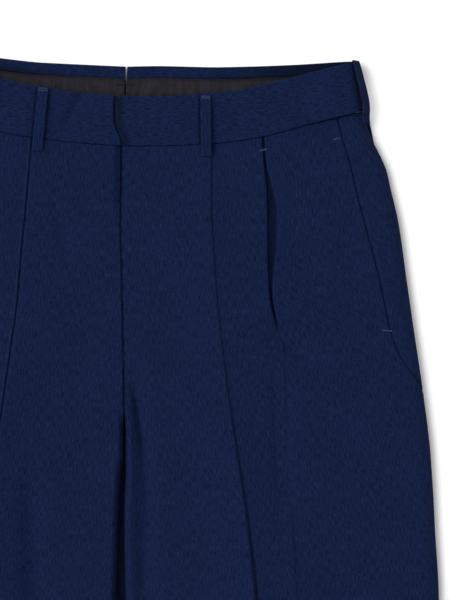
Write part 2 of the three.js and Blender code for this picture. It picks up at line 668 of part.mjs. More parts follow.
// How far a side loop stands off the side fold along its length
const SIDE_LOOP = [
  { v: 339, off: 0.5 },
  { v: 333, off: 1.9 },
  { v: 325, off: 2.8 },
  { v: 315, off: 4 },
  { v: 307, off: 4.3 },
  { v: 299, off: 3.4 },
  { v: 292, off: 1.9 },
  { v: 286.5, off: 1.2 },
];

function sideLoop(leg) {
  const round = degToRad(SIDE_LOOP_ANGLE);
  const along = new THREE.Vector2(BAND_FOLD * Math.cos(round), -BAND_HALF * Math.sin(round)).normalize();
  const away = { u: -along.y, z: along.x };
  const path = SIDE_LOOP.map(({ v, off }) => {
    const middle = lerp(FOLD_CENTRE, BAND_MIDDLE, smoothstep(v, ...SIDE_LOOP_FOOT));
    const out = side(v) - BAND_FOLD * (1 - Math.sin(round)) + off * away.u;
    return { u: leg.sign * out, v, z: middle + BAND_HALF * Math.cos(round) + off * away.z };
  });
  return strip(path, { u: leg.sign * along.x, z: along.y }, { u: leg.sign * away.u, z: away.z });
}

function backLoop(leg) {
  const rows = BACK_LOOP_RISES.map((above) => backSeam(BACK_LOOP_OUT) + above);
  const thin = LOOP_LIFT - SEAM;
  const layer = (z) =>
    rows.map((v) =>
      [-0.5, 0.5].map((share) => lay(leg.sign * BACK_LOOP_OUT + share * LOOP_WIDTH, v, z)),
    );
  return wall(layer(thin), layer(0));
}

const trousers = new THREE.Group();

function add(name, geometry, colour, roughness) {
  geometry.computeVertexNormals();
  const material = new THREE.MeshStandardMaterial({ color: colour, roughness, metalness: 0 });
  const mesh = new THREE.Mesh(geometry, material);
  mesh.name = name;
  trousers.add(mesh);
}

for (const leg of Object.values(LEGS)) {
  add(`front_${leg.name}`, front(leg), COLOURS.cloth, 0.85);
  add(`back_${leg.name}`, back(leg), COLOURS.cloth, 0.85);
  add(`pocket_facing_${leg.name}`, pocketFacing(leg), COLOURS.cloth, 0.85);
  add(`waistband_${leg.name}`, waistband(leg), COLOURS.cloth, 0.85);
  add(`waist_curtain_${leg.name}`, curtain(leg), COLOURS.lining, 0.7);
  add(`front_loop_${leg.name}`, frontLoop(leg), COLOURS.cloth, 0.85);
  add(`side_loop_${leg.name}`, sideLoop(leg), COLOURS.cloth, 0.85);
  add(`back_loop_${leg.name}`, backLoop(leg), COLOURS.cloth, 0.85);
}

// The origin is on the surface, below the middle of the whole
const box = new THREE.Box3().setFromObject(trousers);
const centre = box.getCenter(new THREE.Vector3());
trousers.position.set(-centre.x, -centre.y, -box.min.z);

export default trousers;
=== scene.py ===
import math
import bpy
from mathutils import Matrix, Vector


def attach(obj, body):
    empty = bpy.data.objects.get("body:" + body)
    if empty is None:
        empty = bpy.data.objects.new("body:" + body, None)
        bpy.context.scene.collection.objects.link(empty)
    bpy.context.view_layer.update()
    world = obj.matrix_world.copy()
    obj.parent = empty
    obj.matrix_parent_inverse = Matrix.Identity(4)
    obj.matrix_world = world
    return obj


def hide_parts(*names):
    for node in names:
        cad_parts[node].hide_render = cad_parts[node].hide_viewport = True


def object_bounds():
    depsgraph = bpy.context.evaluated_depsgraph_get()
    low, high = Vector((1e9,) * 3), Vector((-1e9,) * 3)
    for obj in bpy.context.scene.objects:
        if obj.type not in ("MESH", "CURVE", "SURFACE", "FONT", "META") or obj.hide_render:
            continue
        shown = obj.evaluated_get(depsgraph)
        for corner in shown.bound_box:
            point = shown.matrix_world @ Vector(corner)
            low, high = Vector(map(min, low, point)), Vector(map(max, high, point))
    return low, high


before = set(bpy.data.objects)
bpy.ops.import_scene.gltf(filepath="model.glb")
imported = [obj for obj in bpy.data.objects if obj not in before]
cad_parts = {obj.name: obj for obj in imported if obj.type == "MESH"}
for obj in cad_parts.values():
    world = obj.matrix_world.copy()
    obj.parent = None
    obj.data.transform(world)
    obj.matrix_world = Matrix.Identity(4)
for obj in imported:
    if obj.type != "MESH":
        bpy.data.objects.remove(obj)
cad_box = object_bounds()

# Pleated trousers lying flat on their back, front side up, with the legs straight down.
#
# Every piece is a thin shell worked out in the garment's own coordinates, in millimetres: `out`
# is the distance from the centre line, v runs up from the fork, and z is the height above the
# surface. A row w of a front panel follows v, and above WARP_FROM it bends up to the waistband
# seam. lay() leans the part above the fork a little to one side and gives metres in the frame.
from types import SimpleNamespace

import bpy
import numpy as np

MM = 0.001

# Cloth and seams
CLOTH = 1.1  # wall of a panel
BAND = 2.2  # waistband, two layers with interlining
LINING = 1.0  # waistband curtain
LOOP = 1.6  # belt loop, a folded strip
SEAM = 0.3  # distance between two pieces that are sewn together

# Lengths along the garment, from the fork
HEM = -765
FRONT_RISE = 302
WARP_FROM = 200
WARP_TO = 260
LEAN = math.radians(2.2) / FRONT_RISE  # turn gained for each millimetre above the fork

# Heights
LOOP_LIFT = 1.6  # the belt loops under the back hold the waist this far off the surface
LIFT_FROM = 215  # the back starts to rise here
LIFT_TO = 262
BAND_TOP = 18  # outer face of the front waistband
FOLD_WIDTH = 13  # how far in from the side the cloth starts to turn down
FOLD_UNDER = 6  # how far it turns in again underneath
FOLD_CENTRE = 6  # height of the widest point
FOLD_END = 150  # degrees that the cloth turns at the side
LEG_FOLD_WIDTH = 5.5  # the same inside the legs
BAND_FOLD = 11  # half width of the waistband's fold at the side

BAND_MIDDLE = (BAND_TOP + LOOP_LIFT) / 2
BAND_HALF = (BAND_TOP - LOOP_LIFT) / 2

# Fly and waistband overlap, the wearer's left over the right
FLY_UNDERLAP = 14
FLY_UNDERLAP_ROWS = (72, 92)  # where the right front starts to run under the left one
FLY_DIP = 1.4  # how far its edge lies below the left front
FLY_DIP_ROWS = (20, 52)
FLY_DIP_FROM = 0.4  # from here to the next distance it rises to its full height
FLY_DIP_WIDTH = 1.5
FLY_SLOT = 0.2  # groove along the fly's edge, and its width
FLY_SLOT_WIDTH = 0.6
FLY_HOLLOW = 2.6  # below the waistband the cloth also sinks towards the fly
FLY_HOLLOW_FROM = 1.0
FLY_HOLLOW_WIDTH = 7.5
FLY_HOLLOW_ROWS = (178, 236)
LEGS_PART_ROWS = (-6, 40)  # between these the inner edges turn down inside the legs
BAND_UNDERLAP = 25
BAND_DIP = 3.3  # how far the lower half lies down under the overlap
BAND_DIP_WIDTH = 1.1  # it comes up over this distance from the upper half's end
BAND_END_ROWS = (265, 301)  # between these its end follows the centre line
LAP_DIP = 1.0  # the upper half bends down this far to its end
LAP_WIDTH = 5

# Seat seam of the backs, and the split in the waistband above it
SEAT_FORK = 1.7  # distance from the centre line at the fork
SEAT_TOP = -1.5  # the same at the waistband
SEAT_REACH = 60  # below the fork the left back's point runs in under the right leg
SEAT_ASIDE = 8.7
SEAT_LEAVES_ROWS = (-300, -150)
BACK_INSIDE = 1.5  # a back ends this far inside the fold above it
BACK_TOP_ROW = 285
WAIST_NARROWS = 11
SPLIT = 0.55
SPLIT_ROWS = (310, 328)
CURTAIN_SPLIT = 0.4
CURTAIN_SPLIT_ENDS = (0.3, 0.5)  # shares of the curtain's height

# Pocket, curtain and belt loops
FACING_UNDER = 16  # the facing runs this far under the pocket mouth
MOUTH_END = (46, 54)  # between these rows the mouth runs round the side fold and ends
FACING_RISE_LOW = 1.6  # it comes up beside the mouth over this length, below the lower tack
FACING_RISE_HIGH = 3.4  # the same above the tack
FACING_RISE_FROM = 0.25  # the share of it where the rise starts
TACK_ROWS = (96, 112)
CURTAIN_BELOW_TOP = 10.5  # width of the back's strip that shows above the curtain
CURTAIN_HEIGHT = 48
CURTAIN_END = 182
LOOP_WIDTH = 9
LOOP_STANDOFF = 1.5  # how far a front loop bulges from the waistband
SIDE_LOOP_ANGLE = 56  # degrees round the side fold, from its top, of a side loop's middle
SIDE_LOOP_FOOT = (286, 299)  # rows where it steps down from the waistband to the facing

# Painted shade: how much darker the cloth's colour is made where shade falls on it, and where that comes
# and goes
FOLD_PAINTED_SHADE = 0.8  # painted shade on the waistband's side fold, under its belt loop
FOLD_PAINTED_SHADE_DEGREES = (30, 58)
LAP_PAINTED_SHADE = 0.45  # painted shade on the end of the waistband's upper half
LAP_PAINTED_SHADE_FADE = (4.5, 9.5)
RECESS_PAINTED_SHADE = 0.36  # painted shade at the bottom of the recess beside a pleat
RECESS_PAINTED_SHADE_WIDTHS = (3, 6)
RECESS_PAINTED_SHADE_ROWS = (128, 150)
RECESS_PAINTED_SHADE_START = (0.2, 0.5)  # shares of the way across
RECESS_PAINTED_SHADE_STOP = (0.85, 1)
STRIP_PAINTED_SHADE = {"left": 0.58, "right": 0.45}  # painted shade on the back's strip, under the front's ends
STRIP_PAINTED_SHADE_FROM = {"left": (70, 160), "right": (40, 90)}
STRIP_PAINTED_SHADE_BELOW = 3  # on the right it starts this far below the top
FELLING_PAINTED_SHADE = (0.4, 0.9)  # painted shade along the seam under the strip, at the middle and out from there
FELLING_PAINTED_SHADE_FROM = (25, 95)
FELLING_PAINTED_SHADE_ABOVE = (1.8, 0.2)
FELLING_PAINTED_SHADE_BELOW = (0.6, 2.6)

# Number of points across each stretch of a piece, and along the pieces with even rows
POINTS = SimpleNamespace(
    inner_edge=40,
    inner_to_crease=30,
    crease_to_pleat=14,
    over_pleat=12,
    under_pleat=3,
    pleat_turn=4,
    hidden_recess=6,
    pleat_to_fold=70,
    side_fold=26,
    outer_front=58,
    facing=44,
    back=40,
    band_end={"left": 24, "right": 50},
    band_front=240,
    band_fold=40,
    band_back=90,
    curtain=190,
    facing_rows=72,
    band_rows=24,
    curtain_rows=34,
    loop_rows=46,
    back_loop_rows=20,
)

# Camera: straight above, framed on the upper part as in the photograph, in metres
VIEW_CENTRE = (0.09095, 0.3379)
VIEW_HEIGHT = 0.510  # what the image's height takes in at the level of the cloth
CLOTH_LEVEL = 0.012
CAMERA_HEIGHT = 2.2


def make_camera():
    data = bpy.data.cameras.new("camera")
    data.sensor_width = 36.0
    data.lens = data.sensor_width * (CAMERA_HEIGHT - CLOTH_LEVEL) / VIEW_HEIGHT
    camera = bpy.data.objects.new("camera", data)
    camera.location = (*VIEW_CENTRE, CAMERA_HEIGHT)
    bpy.context.scene.collection.objects.link(camera)
    bpy.context.scene.camera = camera


make_camera()


def table(columns, *rows):
    """A short table, as one array for each named column."""
    return dict(zip(columns.split(), np.array(rows, float).T))


def curve(rows, column, key="v"):
    """A smooth line through a table's column that never passes its neighbouring values."""
    x, y = rows[key], rows[column]
    slope = np.diff(y) / np.diff(x)
    before, after = slope[:-1], slope[1:]
    level = before * after <= 0
    bend = 2 * before * after / np.where(level, 1.0, before + after)
    tangent = np.concatenate([slope[:1], np.where(level, 0.0, bend), slope[-1:]])

    def at(value):
        value = np.clip(value, x[0], x[-1])
        i = np.clip(np.searchsorted(x, value, side="right") - 1, 0, len(x) - 2)
        width = x[i + 1] - x[i]
        t = (value - x[i]) / width
        rest = 1 - t
        start = y[i] * (1 + 2 * t) + tangent[i] * width * t
        stop = y[i + 1] * (3 - 2 * t) - tangent[i + 1] * width * rest
        return start * rest**2 + stop * t**2

    return at


def smoothstep(value, low, high):
    t = np.clip((value - low) / (high - low), 0, 1)
    return t * t * (3 - 2 * t)


def lerp(a, b, t):
    return a + (b - a) * t


def ripple(leg, x, length, seed):
    """Uneven waves about `length` apart and at most 1 high, the same on each run."""
    draw = np.random.default_rng(seed + leg.sign)
    waves = [(length * draw.uniform(0.6, 1.7), draw.uniform(0, math.tau)) for _ in range(4)]
    return sum(np.sin(x * math.tau / size + phase) for size, phase in waves) / len(waves)


OUTLINE = table(
    "v side inner_left inner_right",
    (-765, 246, 18, -14),
    (-400, 263.5, 12, -8),
    (-220, 274, 8, -4.5),
    (-126, 273.4, 6.3, -1.6),
    (-65, 270, 5, 0.2),
    (-40, 268.8, 5.2, 1),
    (-20, 267.5, 6.2, 2.4),
    (2, 265.9, 5.6, 5.2),
    (53, 259.6, 5.2, 5.2),
    (109, 251, 4, 4),
    (151, 244.4, 2.4, 2.4),
    (200, 236.6, 0.3, 0.3),
    (229, 229.4, 0, 0),
    (248, 224.4, -0.3, -0.3),
    (262, 217.7, -0.9, -0.9),
    (281, 208.2, -7.6, -7.6),
    (297, 204.2, -8.2, -8.2),
    (340, 195.6, -8.4, -8.4),
)
side = curve(OUTLINE, "side")

# Seams and edges across the waist, by distance from the centre
WAIST = table(
    "out front_seam front_top back_seam back_top_left back_top_right",
    (0, 259.9, 302.5, 285.5, 328.6, 328.6),
    (30, 261, 303.4, 286, 330.3, 328.7),
    (72, 264, 308, 287.5, 331.1, 329),
    (98, 267.5, 311.8, 289, 332.6, 330.5),
    (126, 274, 319.4, 291, 334.7, 333),
    (153, 282.7, 327.6, 293, 337.2, 336.2),
    (180, 290.6, 335.9, 295.5, 340.2, 339.8),
    (202, 297.4, 342.3, 297.4, 342.3, 342.3),
)
front_seam = curve(WAIST, "front_seam", "out")
front_top = curve(WAIST, "front_top", "out")
back_seam = curve(WAIST, "back_seam", "out")

# How the front lies: the height of its cloth, the pressed crease with its distance from the
# centre on each leg, its rise, the step down on its outer side, and the depth of the line
# pressed there on each leg with its width
LIE = table(
    "v height crease_left crease_right rise step line_left line_right line_width",
    (-765, 11, 130, 128, 7, 3, 1.5, 1.5, 1.2),
    (-400, 14, 131, 131, 7.5, 3, 1.8, 1.8, 1.3),
    (-220, 16, 124, 125, 7.5, 3, 2.2, 2.2, 1.5),
    (-119, 17, 116.5, 118, 7, 3, 3.2, 2.6, 1.4),
    (-48, 17.5, 108.3, 110.5, 5.5, 2.4, 2.2, 2.2, 1.1),
    (3, 18, 100.3, 103.5, 4.5, 2, 1.6, 2.1, 0.85),
    (45, 18, 94, 97.5, 3.8, 1.8, 1.2, 2.2, 0.8),
    (96, 18, 87, 90.5, 3, 1.6, 0.9, 2.3, 0.8),
    (127, 18, 83.1, 86.6, 2.6, 1.5, 0.75, 2.4, 0.85),
    (168, 17.6, 79.6, 84, 2.2, 1.4, 1.0, 2.4, 0.85),
    (209, 17.2, 76.4, 81, 1.6, 1.3, 1.15, 2.2, 0.85),
    (259, 17, 74.8, 78, 1.1, 1.1, 1.25, 1.7, 0.8),
)
cloth_height = curve(LIE, "height")
crease_rise = curve(LIE, "rise")
crease_step = curve(LIE, "step")
line_width = curve(LIE, "line_width")
CREASE_REACH_IN = 62
CREASE_REACH_OUT = 48
CREASE_SHARPNESS = 1.7
STEP_WIDTH = 2.6
LINE_AT = {"left": 1.0, "right": -0.8}  # the pressed line lies this far out from the crease
SIDE_FALL = 0.2  # share of its height that the cloth loses towards the side
SIDE_FALL_FROM = 20

# The second pleat folds towards the side: where its edge lies, how deep the cloth goes under,
# how far it is turned, how wide the recess beside it stands open and how far that drops
PLEAT = table(
    "v edge depth turn recess drop",
    (-765, 160, 0, 0, 9, 0),
    (-300, 152, 0, 0, 9, 0),
    (0, 136, 0, 0, 9, 0),
    (92, 131.5, 0, 0, 9, 0),
    (105, 131, 0.4, 0.12, 6.5, 0.3),
    (118, 129.8, 1.6, 0.4, 3.6, 0.6),
    (132, 128, 3.2, 0.75, 2.6, 0.6),
    (145, 126.8, 5, 1, 3.8, 1.2),
    (160, 125.8, 6.5, 1, 5.8, 1.8),
    (183, 125, 8, 1, 8.6, 2.1),
    (205, 124.3, 9.2, 1, 9, 2),
    (220, 123.6, 10, 1, 7.6, 1.8),
    (231, 122.7, 10.6, 1, 5, 1.4),
    (245, 120.6, 11.3, 1, 2.8, 1.2),
    (260, 119, 12, 1, 2.2, 0.2),
    (275, 117.4, 12, 1, 2.2, 0),
)
pleat_edge = curve(PLEAT, "edge")
pleat_depth = curve(PLEAT, "depth")
pleat_turn = curve(PLEAT, "turn")
pleat_recess = curve(PLEAT, "recess")
pleat_drop = curve(PLEAT, "drop")
PLEAT_RADIUS = 1.35
PLEAT_INNER_RADIUS = 0.25
LEAST_UNDER = 0.3  # length of the part under the fold where there is none

# How the cloth comes up again beside the pleat: share of the way across and of the height
RECESS = table("t up", (0, 0), (0.2, 0), (0.8, 0.03), (0.92, 0.5), (1, 1))
recess_rise = curve(RECESS, "up", "t")
RECESS_STEPS = np.linspace(0.1, 1, 14)

# Slant pocket mouth, which runs on as the side seam below its lower end
MOUTH = table(
    "v out",
    (34, 265),
    (52, 260),
    (72, 247),
    (85, 238.5),
    (105, 230.5),
    (133, 224.2),
    (161, 217.7),
    (184, 211.2),
    (210, 203.8),
    (230, 198.2),
    (249, 193.3),
    (269, 186.8),
    (289, 181),
    (310, 175),
)
mouth = curve(MOUTH, "out")

# Soft hollows and, where the depth is below 0, ridges of the fronts, from one end to the other
HOLLOW_COLUMNS = "out v to_out to_v width depth"
HOLLOWS = {
    "left": table(
        HOLLOW_COLUMNS,
        (16, 90, 27, -210, 8, 4.6),
        (12, 60, 24, -12, 1.8, 3.6),
        (19, 24, 31, -95, 2.6, 2.4),
        (122, 102, 168, 80, 5, 2.6),
        (138, 84, 140, -60, 8, 2.2),
        (216, 118, 223, 100, 5, 0.8),
        (212, 268, 226, 240, 6, 1.0),
        (182, 250, 224, 219, 14, 0.9),
        (14, 222, 24, 200, 9, 0.6),
        (60, 96, 34, 40, 16, 0.7),
        (196, 40, 204, -40, 15, 0.7),
    ),
    "right": table(
        HOLLOW_COLUMNS,
        (75, 10, 68, -260, 9, 4.2),
        (60, 222, 42, 160, 5, 1.5),
        (128, 98, 160, 76, 8, 1.8),
        (140, 70, 143, -80, 9, 1.6),
        (30, 30, 36, -90, 12, 0.9),
        (216, 116, 222, 100, 5, 0.8),
        (186, 252, 222, 216, 13, 0.9),
        (210, 266, 224, 242, 6, 0.9),
        (200, 30, 206, -60, 15, 0.7),
    ),
}
BAND_HOLLOWS = {
    "left": table(
        HOLLOW_COLUMNS,
        (92, 306, 100, 272, 9, 0.5),
        (150, 322, 142, 286, 12, 0.6),
        (184, 332, 187, 292, 6, 0.8),
        (63.4, 322, 68.3, 225, 1.4, 1.4),
    ),
    "right": table(
        HOLLOW_COLUMNS,
        (30, 316, 56, 262, 4, 2.4),
        (72.8, 322, 79, 225, 1.4, 1.2),
        (110, 310, 104, 276, 10, 0.6),
        (158, 326, 150, 288, 12, 0.7),
        (184, 332, 187, 292, 6, 0.8),
    ),
}

LEGS = [
    SimpleNamespace(
        name=name,
        sign=sign,
        crease=curve(LIE, "crease_" + name),
        line=curve(LIE, "line_" + name),
        inner=curve(OUTLINE, "inner_" + name),
        back_top=curve(WAIST, "back_top_" + name, "out"),
    )
    for name, sign in (("left", 1), ("right", -1))
]


def hem_place():
    """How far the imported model's hem lies from the fork's own zero, in millimetres."""
    return cad_box[0][1] / MM - HEM


FORK = hem_place()


def lay(u, v, z):
    """Garment coordinates to the place where that point lies, in metres."""
    u, v, z = np.broadcast_arrays(u, v, z)
    turn = LEAN * np.maximum(v, 0)
    along = np.where(v > 0, np.sin(turn) / LEAN, v)
    aside = (1 - np.cos(turn)) / LEAN
    x = aside + u * np.cos(turn)
    y = along - u * np.sin(turn) + FORK
    return np.stack([x, y, z], axis=-1) * MM


def floor_lift(v):
    """How far the belt loops under the back hold it off the surface."""
    return LOOP_LIFT * smoothstep(v, LIFT_FROM, LIFT_TO)


def inner_edge(leg, v):
    """The front's inner edge on its own side of the centre."""
    return leg.sign * leg.inner(v) + SEAM / 2


HOLLOW_FULL_AT = 0.25  # shares of a hollow's length: full from here
HOLLOW_FADES_FROM = 0.6  # and weaker from here on


def hollow(rows, out, v):
    """Depth of a table's hollows at a point: each fades in, and out over its last part."""
    depth = 0
    for start, row, to_out, to_row, width, deep in zip(*rows.values()):
        du, dv = to_out - start, to_row - row
        t = np.clip(((out - start) * du + (v - row) * dv) / (du * du + dv * dv), 0, 1)
        distance = np.hypot(out - start - t * du, v - row - t * dv)
        fade = smoothstep(t, 0, HOLLOW_FULL_AT) * (1 - smoothstep(t, HOLLOW_FADES_FROM, 1))
        depth = depth + deep * fade * np.exp(-((distance / width) ** 2))
    return depth


# Short soft puckers beside a seam: their height, how far apart they are, how far they reach
BAND_PUCKERS = SimpleNamespace(height=0.16, apart=11, reach=9, seed=3)
MOUTH_PUCKERS = SimpleNamespace(height=0.12, apart=13, reach=6, seed=7)
FLY_PUCKERS = SimpleNamespace(height=0.14, apart=12, reach=7, seed=11)
MOUTH_PUCKER_ROWS = (80, 110)
FLY_PUCKER_ROWS = (20, 60)

# Wide waves of the whole front, with the slant of their crests, flat near the fly
SLACK_HEIGHT = 0.55
SLACK_ACROSS = SimpleNamespace(apart=95, slant=0.35, seed=21)
SLACK_ALONG = SimpleNamespace(apart=140, slant=-0.2, seed=31)
SLACK_FROM = (12, 40)


def puckers(leg, given, from_seam, along):
    near = np.exp(-np.abs(from_seam) / given.reach)
    return given.height * near * ripple(leg, along, given.apart, given.seed)


def seam_puckers(leg, out, v):
    """Puckers beside the waistband seam, the pocket mouth and the fly."""
    at_band = puckers(leg, BAND_PUCKERS, front_seam(out) - v, out)
    at_mouth = puckers(leg, MOUTH_PUCKERS, mouth(v) - out, v) * smoothstep(v, *MOUTH_PUCKER_ROWS)
    at_fly = puckers(leg, FLY_PUCKERS, out - inner_edge(leg, v), v) * smoothstep(v, *FLY_PUCKER_ROWS)
    return at_band + at_mouth + at_fly


def slack(leg, out, v):
    """Wide uneven lie of cloth that has been pressed and then handled."""
    across, along = SLACK_ACROSS, SLACK_ALONG
    drift = ripple(leg, out + across.slant * v, across.apart, across.seed)
    drift = drift * ripple(leg, v + along.slant * out, along.apart, along.seed)
    return SLACK_HEIGHT * drift * smoothstep(out, *SLACK_FROM)


def front_height(leg, out, v):
    """Height of the front's outer face between its edges."""
    from_crease = out - leg.crease(v)
    reach = np.where(from_crease < 0, CREASE_REACH_IN, CREASE_REACH_OUT)
    near = np.maximum(0, 1 - np.abs(from_crease) / reach) ** CREASE_SHARPNESS
    step = crease_step(v) * smoothstep(from_crease, 0, STEP_WIDTH) * near
    line = leg.line(v) * np.exp(-(((from_crease - LINE_AT[leg.name]) / line_width(v)) ** 2))
    fall = 1 - SIDE_FALL * smoothstep(out, leg.crease(v) + SIDE_FALL_FROM, side(v))
    height = cloth_height(v) * fall + crease_rise(v) * near - step - line
    height = height - hollow(HOLLOWS[leg.name], out, v)
    return height + seam_puckers(leg, out, v) + slack(leg, out, v)


def row_height(w, out):
    """v of row w at a distance from the centre."""
    share = (w - WARP_FROM) / (WARP_TO - WARP_FROM)
    bent = WARP_FROM + share * (front_seam(np.abs(out)) - SEAM / 2 - WARP_FROM)
    return np.where(w <= WARP_FROM, w, bent)


MEETING_ROUNDS = 8  # by then each row has settled on its line


def meet(w, line):
    """v where each row meets a line across the garment given by line(v)."""
    v = np.minimum(w, WARP_FROM)
    for _ in range(MEETING_ROUNDS):
        v = row_height(w, line(v))
    return v


def fold_points(edge, inwards, degrees, width, top, v):
    """Points of a fold whose widest place is `edge`; inwards is -1 at the side, 1 inside a leg."""
    angle = np.radians(degrees)
    seam = floor_lift(v) + CLOTH + SEAM
    over = degrees <= 90
    reach = np.where(over, width, FOLD_UNDER) * (1 - np.sin(angle))
    under_rise = (FOLD_CENTRE - seam) * np.cos(angle) / -math.cos(math.radians(FOLD_END))
    rise = np.where(over, (top - FOLD_CENTRE) * np.cos(angle), under_rise)
    return edge + inwards * reach, FOLD_CENTRE + rise


def on_front(leg, w, out):
    """A block of points on the plain front."""
    return out, front_height(leg, out, row_height(w, out))


def inner_block(leg, w):
    """The front's inner edge: flat to the fly above the fork, turned down inside the leg."""
    v = meet(w, lambda at: leg.sign * leg.inner(at))
    edge = inner_edge(leg, v)
    closed = smoothstep(v, *LEGS_PART_ROWS)
    lapped = leg.name == "right"
    under = FLY_UNDERLAP * smoothstep(v, *FLY_UNDERLAP_ROWS) * lapped
    dipped = smoothstep(v, *FLY_DIP_ROWS) * lapped
    share = np.linspace(0, 1, POINTS.inner_edge)
    top = front_height(leg, edge + LEG_FOLD_WIDTH, v)
    leg_out, leg_z = fold_points(edge, 1, FOLD_END * (1 - share), LEG_FOLD_WIDTH, top, v)
    out = edge - under + (LEG_FOLD_WIDTH + under) * share
    sunk = FLY_HOLLOW * smoothstep(v, *FLY_HOLLOW_ROWS)
    dip = FLY_DIP * (1 - smoothstep(out - edge, FLY_DIP_FROM, FLY_DIP_WIDTH))
    dip = dip + sunk * (1 - smoothstep(out - edge, FLY_HOLLOW_FROM, FLY_HOLLOW_WIDTH))
    dip = dip + FLY_SLOT * np.exp(-(((out - edge) / FLY_SLOT_WIDTH) ** 2))
    dip = dip * dipped
    flat_z = front_height(leg, np.maximum(out, edge), v) - dip
    return lerp(leg_out, out, closed), lerp(leg_z, flat_z, closed)


# Distances of a front's points from its crease, closest where the pressed line is
CREASE_STEPS = np.array(
    [-12, -8, -5, -3, -1.8, -1, -0.5, 0, 0.35, 0.7, 1.1, 1.5, 2, 2.7, 3.6, 5, 7.5, 11]
)


def pleat_block(leg, w):
    """The folded pleat, over its edge, back under it and up again to the cloth beyond."""
    v = meet(w, pleat_edge)
    turn = pleat_turn(v)
    edge = pleat_edge(v)
    over, under, back = POINTS.over_pleat, POINTS.under_pleat, POINTS.pleat_turn
    half_turn = [(np.arange(count) + 0.5) * 180 / count for count in (over, back)]
    heading = np.concatenate([half_turn[0], np.full(under, 180.0), 180 - half_turn[1]])
    heading = np.radians(heading) * turn
    deep = np.maximum(pleat_depth(v), LEAST_UNDER)
    stretches = [(math.pi * PLEAT_RADIUS, over), (deep, under), (math.pi * PLEAT_INNER_RADIUS, back)]
    lengths = [np.broadcast_to(size / count, (len(w), count)) for size, count in stretches]
    lengths = np.concatenate(lengths, axis=1)
    first_z = front_height(leg, edge, v)
    out = edge - PLEAT_RADIUS + np.cumsum(lengths * np.cos(heading), axis=1)
    z = first_z - np.cumsum(lengths * np.sin(heading), axis=1)
    end = edge + pleat_recess(v)
    last_out, last_z = out[:, -1:], z[:, -1:]
    foot = last_z - pleat_drop(v)
    lip = np.maximum(last_out, edge)
    hidden = np.linspace(0, 1, POINTS.hidden_recess)[1:-1]
    t = RECESS_STEPS
    hidden_out = lerp(last_out, lerp(lip, end, t[0]), hidden)
    hidden_z = lerp(last_z, foot, smoothstep(hidden, 0, 1))
    rise_z = lerp(foot, front_height(leg, end, v), recess_rise(t))
    blocks_out = [edge - PLEAT_RADIUS, out, hidden_out, lerp(lip, end, t)]
    blocks_z = [first_z, z, hidden_z, rise_z]
    return np.concatenate(blocks_out, axis=1), np.concatenate(blocks_z, axis=1)


def outer_line(leg, w):
    """The cloth from the pleat to the seam at the side, with its length along the section.

    `ends` is where the front stops: at the pocket mouth, or below it at the seam with the back.
    """
    v = meet(w, side)
    edge = side(v)
    start = pleat_edge(meet(w, pleat_edge)) + pleat_recess(meet(w, pleat_edge))
    share = np.linspace(0, 1, POINTS.pleat_to_fold)[:-1]
    degrees = np.linspace(0, FOLD_END, POINTS.side_fold)
    flat_out, flat_z = on_front(leg, w, lerp(start, edge - FOLD_WIDTH, share))
    top = front_height(leg, edge - FOLD_WIDTH, v)
    fold_out, fold_z = fold_points(edge, -1, degrees, FOLD_WIDTH, top, v)
    out = np.concatenate([flat_out, fold_out], axis=1)
    z = np.concatenate([flat_z, fold_z], axis=1)
    pieces = np.hypot(np.diff(out, axis=1), np.diff(z, axis=1))
    arc = np.concatenate([np.zeros((len(w), 1)), np.cumsum(pieces, axis=1)], axis=1)
    mouth_v = meet(w, mouth)
    widest = np.argmax(out, axis=1)
    at_mouth = [
        np.interp(line, out[i, : last + 1], arc[i, : last + 1])
        for i, (line, last) in enumerate(zip(mouth(mouth_v)[:, 0], widest))
    ]
    open_share = smoothstep(mouth_v[:, 0], *MOUTH_END)
    ends = lerp(arc[:, -1], np.array(at_mouth), open_share)
    return SimpleNamespace(out=out, z=z, arc=arc, ends=ends)


def resample(line, starts, stops, count):
    """Evenly placed points of a section line between two lengths, for each row."""
    wanted = lerp(starts[:, None], stops[:, None], np.linspace(0, 1, count))
    rows = range(len(wanted))
    out = np.array([np.interp(wanted[i], line.arc[i], line.out[i]) for i in rows])
    z = np.array([np.interp(wanted[i], line.arc[i], line.z[i]) for i in rows])
    return out, z, wanted


# Rows of a panel: where they start and end and how many there are, closer in the upper part
FRONT_ROWS = ((HEM, -132, 54), (-128, WARP_TO, 122))
BACK_ROWS = ((HEM, 200, 76), (205, BACK_TOP_ROW, 22))
TOWARDS_INNER_EDGE = 1.25  # how much closer the points are there


def rows_of(stretches):
    return np.concatenate([np.linspace(*stretch) for stretch in stretches])[:, None]


